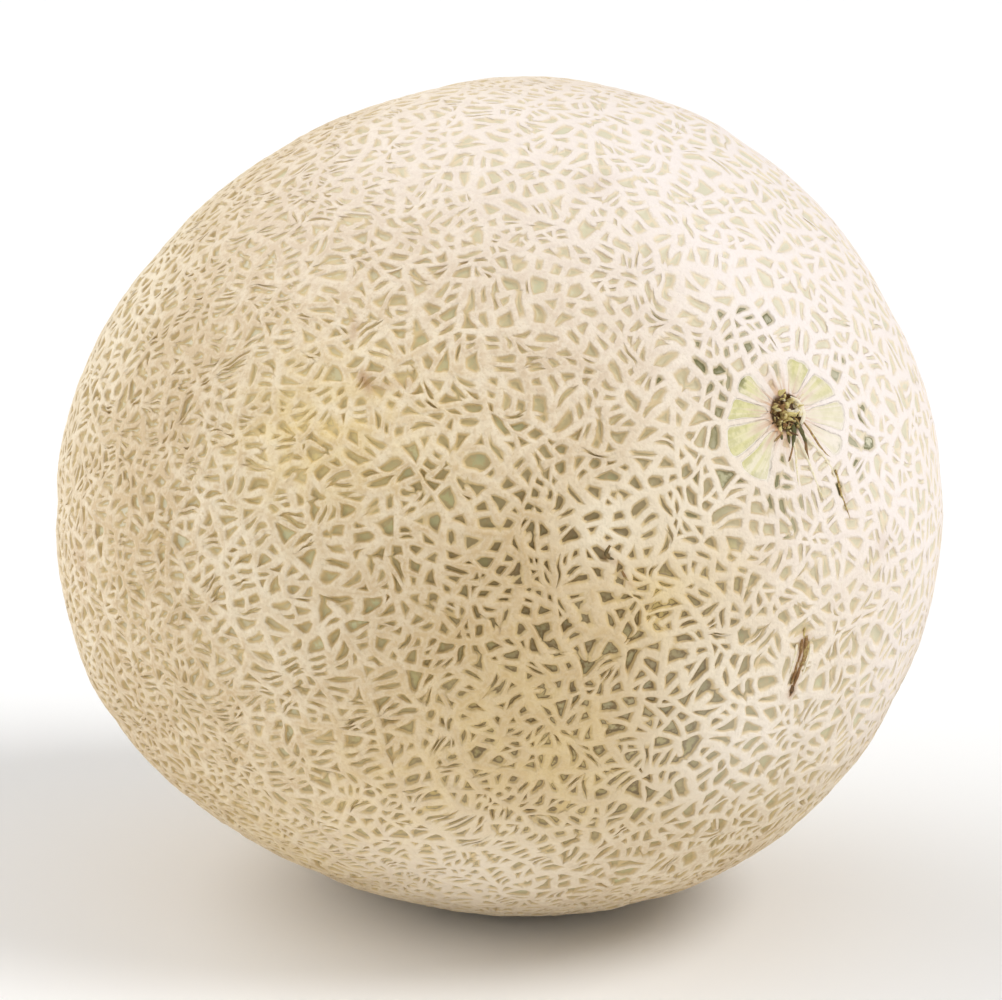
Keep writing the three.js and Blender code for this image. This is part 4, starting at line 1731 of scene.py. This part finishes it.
@dataclass
class Fibres:
    """Dried fibres on the rind: uneven round profiles carried along paths.

    The streaks' points are a distance from the stem in millimetres and a bearing.
    """

    form: FruitForm
    name: str = "fibres"
    sides: int = 6
    steps: int = 6
    seed: int = 31
    sunk: float = 0.14 * MM
    unevenness: Pair = (0.8, 1.2)
    blunt: float = 0.5
    map_margin: float = 0.05
    map_ends: Pair = (1.2, 1.4)
    taper: tuple[float, ...] = (0.7, 1.0, 1.05, 0.9, 0.7, 0.3)
    streaks: tuple[Streak, ...] = ()

    def lying(self, first: np.ndarray, second: np.ndarray) -> np.ndarray:
        """Returns local directions by the two coordinates of the streaks' points."""
        return self.form.at_end(first * MM, second)

    def raised(self, local: np.ndarray, rise: float) -> np.ndarray:
        """Returns points on local directions at a height over the net's tops."""
        flat = local.reshape(-1, 3)
        return self.form.points(flat, np.full(len(flat), -rise)).reshape(local.shape)

    def streak_paths(self) -> tuple[np.ndarray, np.ndarray]:
        """Returns the middle lines of the streaks, half sunk in the rind, and their radii."""
        t = np.linspace(0, 1, self.steps)
        paths, radii = [], []
        for streak in self.streaks:
            at = np.linspace(0, 1, len(streak.points))
            place = [np.interp(t, at, values) for values in np.array(streak.points).T]
            paths.append(self.raised(self.lying(*place), -self.sunk))
            radii.append(streak.radius * MM * np.array(self.taper))
        return np.array(paths), np.array(radii)

    def tubes(
        self, paths: np.ndarray, radii: np.ndarray, rng: np.random.Generator
    ) -> tuple[np.ndarray, np.ndarray, np.ndarray]:
        """Carries an uneven round profile along each path, and closes both ends.

        Args:
            paths: middle lines, one row of points for each tube.
            radii: the radius at each of those points.
            rng: draws the unevenness.

        Returns:
            Points, triangles, and the flat map, on which each tube fills its own square.
        """
        n, k, m = *radii.shape, self.sides
        along = unit(np.gradient(paths, axis=1))
        across = unit(np.cross(along, self.form.turn[:, 1]))
        other = np.cross(along, across)
        turn = (np.arange(m) * 2 * math.pi / m)[:, None]
        uneven = rng.uniform(*self.unevenness, (n, k, m))[..., None] * radii[..., None, None]
        ring = across[:, :, None] * np.cos(turn) + other[:, :, None] * np.sin(turn)
        skin = (paths[:, :, None] + ring * uneven).reshape(n, k * m, 3)
        tip = paths[:, -1] + along[:, -1] * radii[:, -1:] * self.blunt
        caps = np.stack([paths[:, 0], tip], axis=1)
        points = np.concatenate([skin, caps], axis=1)
        i, j = (grid.ravel() for grid in np.meshgrid(np.arange(k - 1), np.arange(m)))
        low, high, around = np.zeros(m, int), np.full(m, k - 1), np.arange(m)
        faces = (
            ((i, j), (i, j + 1), (i + 1, j + 1)),
            ((i, j), (i + 1, j + 1), (i + 1, j)),
            ((low, around + 1), (low, around), (low - 1, around)),
            ((high, around), (high, around + 1), (high + 1, around)),
        )
        rows, columns = (
            np.concatenate([np.stack([corner[axis] for corner in face], 1) for face in faces])
            for axis in (0, 1)
        )
        one = rows * m + columns % m
        one = np.where(rows < 0, k * m, np.where(rows == k, k * m + 1, one))
        shift = np.arange(n)[:, None, None] * points.shape[1]
        squares = math.ceil(math.sqrt(n))
        cell = np.stack(np.divmod(np.arange(n), squares), axis=1)[:, None, None]
        inner = self.map_margin + (1 - 2 * self.map_margin) * columns / m
        start, both = self.map_ends
        flat = (cell + np.stack([inner, (rows + start) / (k + both)], axis=-1)) / squares
        return points.reshape(-1, 3), (one + shift).reshape(-1, 3), flat.reshape(-1, 3, 2)

    def loose(self, rng: np.random.Generator) -> list[np.ndarray]:
        """Returns paths, radii, tones and greens of further fibres drawn at random."""
        return []

    def build(self) -> bpy.types.Object:
        """Makes the piece."""
        rng = np.random.default_rng(self.seed)
        loose = self.loose(rng)
        paths, radii = self.streak_paths()
        tone = np.array([s.tone for s in self.streaks])
        green = np.array([s.green for s in self.streaks])
        if loose:
            both = zip(loose, (paths, radii, tone, green))
            paths, radii, tone, green = (np.concatenate(pair) for pair in both)
        points, triangles, flat = self.tubes(paths, radii, rng)
        per_tube = len(points) // len(paths)
        values = {"tone": np.repeat(tone, per_tube), "green": np.repeat(green, per_tube)}
        piece = new_mesh_object(self.name, points, triangles, None, values, flat)
        LOG.info("%s: %d triangles", piece.name, len(triangles))
        return piece


@dataclass
class StemScar(Fibres):
    """The broken ends of the stem's fibres in their hollow, and fibres lying round it."""

    name: str = "stem_scar_fibres"
    tufts: int = 130
    hollow_radius: float = 3.4 * MM
    hollow_depth: float = 1.25 * MM
    thickness: Pair = (0.16 * MM, 0.46 * MM)
    height: Pair = (0.7 * MM, 1.9 * MM)
    swelling: tuple[float, ...] = (1.1, 1.0, 0.95, 1.05, 0.85, 0.45)
    tallest: float = 1.08
    rim_shortening: float = 0.25
    lean: float = 0.3
    thinness: float = 1.6
    tone: float = 0.46
    tone_rise: float = 0.34
    tone_play: float = 0.26
    thick: float = 0.28 * MM
    thick_tone: float = 0.28
    green_share: float = 0.12
    green_side: float = 0.3
    green: float = 0.7
    streaks: tuple[Streak, ...] = (
        Streak(((2.0, 22), (3.0, 10), (4.2, 2), (5.5, -4)), 0.42, 0.16, 0.75),
        Streak(((5.0, -2), (6.5, -8), (7.6, -12)), 0.2, 0.34),
        Streak(((2.2, 43), (3.6, 34), (4.8, 30), (5.9, 27)), 0.42, 0.2, 0.7),
        Streak(((5.2, 29), (6.6, 20), (8.4, 17)), 0.3, 0.26, 0.1),
        Streak(((3.4, 61), (5.2, 50), (6.9, 43), (9.0, 41), (11.3, 43)), 0.22, 0.48),
        Streak(((12.4, 38), (14.4, 33), (16.6, 30), (20.1, 29)), 0.2, 0.5),
        Streak(((2.6, 0), (5.4, 2), (8.8, -3), (12.5, -2)), 0.22, 0.9),
        Streak(((3.0, 34), (6.2, 36), (9.6, 38), (14.5, 33)), 0.26, 0.94),
        Streak(((3.2, 14), (6.8, 17), (10.2, 15), (15.5, 17)), 0.24, 0.92),
        Streak(((3.3, 330), (4.4, 322), (5.4, 318)), 0.22, 0.4),
        Streak(((2.6, 345), (4.0, 350), (4.8, 352)), 0.24, 0.25, 0.7),
        Streak(((3.0, 50), (3.35, 72), (3.45, 96), (3.4, 120), (3.0, 150)), 0.42, 0.96),
        Streak(((2.7, 74), (2.9, 100), (2.7, 128)), 0.34, 0.88),
    )

    def loose(self, rng: np.random.Generator) -> list[np.ndarray]:
        """Returns the tufts in the hollow.

        A tuft rises from the hollow's floor and leans as the square of its height. Those on
        the right are lighter, and thick ones are straw-coloured.
        """
        n = self.tufts
        distance = self.hollow_radius * np.sqrt(rng.random(n))
        bearing = rng.uniform(0, 360, n)
        out = distance / self.hollow_radius
        low, high = self.height
        tall = rng.uniform(low, high, n) * (self.tallest - self.rim_shortening * out)
        foot = self.raised(self.lying(distance / MM, bearing), -self.hollow_depth)
        up = self.form.turn[:, 2]
        lean = rng.normal(0, self.lean, (n, 3)) * tall[:, None]
        t = np.linspace(0, 1, self.steps)[None, :, None]
        paths = foot[:, None] + up * tall[:, None, None] * t + lean[:, None] * t**2
        thin, thick = self.thickness
        radius = thin + (thick - thin) * rng.random(n) ** self.thinness
        tone = self.tone + self.tone_rise * np.sin(np.radians(bearing)) * out
        tone = tone + rng.normal(0, self.tone_play, n) + self.thick_tone * (radius > self.thick)
        tone = np.clip(tone, 0.0, 1.0)
        green = (rng.random(n) < self.green_share) * self.green
        green = green * (np.cos(np.radians(bearing)) > self.green_side)
        return [paths, radius[:, None] * np.array(self.swelling), tone, green]


@dataclass
class RindCracks(Fibres):
    """Brown fibres in the cracks of the rind, with light ragged rims.

    The streaks' points are an azimuth and an elevation.
    """

    name: str = "crack_fibres"
    seed: int = 47
    sunk: float = 0.22 * MM
    streaks: tuple[Streak, ...] = (
        Streak(((0.5, -5.3), (0.65, -6.8), (0.5, -8.3)), 0.3, 0.36),
        Streak(((1.1, -5.0), (1.3, -6.7), (1.25, -8.4), (1.0, -9.7)), 0.34, 0.44),
        Streak(((0.4, -8.0), (0.45, -9.4), (0.3, -10.8)), 0.28, 0.38),
        Streak(((0.95, -8.8), (0.9, -10.2), (0.6, -11.6)), 0.32, 0.32),
        Streak(((0.5, -10.9), (0.65, -11.7), (0.5, -12.5)), 0.36, 0.16),
        Streak(((1.6, -5.8), (1.75, -7.2), (1.5, -8.6)), 0.24, 0.52),
        Streak(((-0.1, -5.8), (-0.15, -7.4), (-0.3, -9.4)), 0.26, 0.92),
        Streak(((2.1, -6.4), (2.05, -8.2), (1.6, -10.4)), 0.26, 0.94),
        Streak(((0.75, -4.0), (0.65, -4.7), (0.85, -5.4)), 0.2, 0.55),
        Streak(((-23.0, 7.3), (-23.3, 6.9), (-23.4, 6.5), (-23.2, 6.1)), 0.3, 0.2, 0.35),
        Streak(((-23.5, 6.6), (-23.4, 6.2), (-23.0, 5.9), (-22.6, 5.8)), 0.3, 0.2, 0.35),
        Streak(((-21.8, 4.5), (-21.4, 3.8), (-20.8, 3.0)), 0.22, 0.42, 0.1),
    )

    def lying(self, first: np.ndarray, second: np.ndarray) -> np.ndarray:
        """Returns local directions from an azimuth and an elevation."""
        return towards(first, second) @ self.form.turn


# ---------------------------------------------------------------- the setting


@dataclass(frozen=True)
class View:
    """The camera. It looks from an azimuth, measured from -Y towards +X, and an elevation."""

    azimuth: float = 54.0
    elevation: float = 12.0
    distance: float = 577.4 * MM
    right: float = 1.74 * MM
    up: float = 0.59 * MM
    lens: float = 120.0
    sensor: float = 36.0
    nearest: float = 10 * MM

    def build(self, middle: np.ndarray) -> None:
        """Makes the scene's camera, looking at the fruit's middle from the given side."""
        back = Vector(towards(self.azimuth - 90, self.elevation))
        right = Vector(towards(self.azimuth, 0.0))
        up = back.cross(right)
        data = bpy.data.cameras.new("view")
        data.lens = self.lens
        data.sensor_width = self.sensor
        data.sensor_fit = "HORIZONTAL"
        data.clip_start = self.nearest
        camera = bpy.data.objects.new("view", data)
        place = Vector(middle) + back * self.distance + right * self.right + up * self.up
        turned = Matrix((right, up, back)).transposed().to_4x4()
        camera.matrix_world = Matrix.Translation(place) @ turned
        bpy.context.scene.collection.objects.link(camera)
        bpy.context.scene.camera = camera


@dataclass(frozen=True)
class Softlight:
    """A broad, soft, distant light, by the side it shines from and how wide it looks."""

    name: str
    azimuth: float
    elevation: float
    width: float
    power: float

    def build(self) -> None:
        """Makes the light, shining towards the fruit."""
        data = bpy.data.lights.new(self.name, "SUN")
        data.energy = self.power
        data.angle = math.radians(self.width)
        lamp = bpy.data.objects.new(self.name, data)
        way = Vector(-towards(self.azimuth, self.elevation))
        lamp.matrix_world = way.to_track_quat("-Z", "Y").to_matrix().to_4x4()
        bpy.context.scene.collection.objects.link(lamp)


class Studio:
    """The plain pale floor, the soft lights and the bright surroundings."""

    FLOOR_SIDE = 60.0
    FLOOR_COLOUR = (0.93, 0.93, 0.93, 1.0)
    FLOOR_ROUGHNESS = 0.9
    LIGHTS = (
        Softlight("key", 30.0, 47.0, 26.0, 1.52),
        Softlight("side", -140.0, 26.0, 80.0, 1.95),
        Softlight("fill", -5.0, 5.0, 60.0, 0.25),
    )
    SURROUNDINGS = 0.48

    def build(self) -> None:
        """Makes the floor, the lights and the surroundings, which look white behind the floor."""
        half = self.FLOOR_SIDE / 2
        points = np.array([[-half, -half, 0], [half, -half, 0], [half, half, 0], [-half, half, 0]])
        floor = new_mesh_object("floor", points, np.array([[0, 1, 2], [0, 2, 3]]))
        material = bpy.data.materials.new("floor")
        material.use_nodes = True
        shader = material.node_tree.nodes["Principled BSDF"]
        shader.inputs["Base Color"].default_value = self.FLOOR_COLOUR
        shader.inputs["Roughness"].default_value = self.FLOOR_ROUGHNESS
        floor.data.materials.append(material)
        for light in self.LIGHTS:
            light.build()
        world = bpy.data.worlds.new("surroundings")
        world.use_nodes = True
        background = world.node_tree.nodes["Background"]
        background.inputs["Color"].default_value = (1, 1, 1, 1)
        desk = NodeDesk(world.node_tree)
        seen = desk.add("ShaderNodeLightPath").outputs["Is Camera Ray"]
        brighter = desk.times(seen, 1 - self.SURROUNDINGS)
        desk.feed(background.inputs["Strength"], desk.plus(brighter, self.SURROUNDINGS))
        bpy.context.scene.world = world
        bpy.context.scene.view_settings.view_transform = "Standard"


def main() -> None:
    """Builds the melon and its setting in order."""
    logging.basicConfig(level=logging.INFO, format="%(name)s %(message)s")
    form = FruitForm()
    rind = Rind(NetGraph(form, NetPlan(), Marks()), StrandForm(), PaintPlan())
    LOG.info("meshes %d, triangles %d", rind.meshes, len(rind.triangles))
    group = Grain().build()
    netted = RindFinish().build(group, form)
    pieces = RindPieces(rind).build()
    for piece in pieces:
        piece.data.materials.append(netted)
    dried = FibreFinish().build(group)
    for fibres in (StemScar(form), RindCracks(form)):
        pieces.append(fibres.build())
        pieces[-1].data.materials.append(dried)
    for piece in pieces:
        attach(piece, BODY)
        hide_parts(NODE)
    View().build(form.middle)
    Studio().build()
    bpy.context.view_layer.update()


if __name__ == "__main__":
    main()
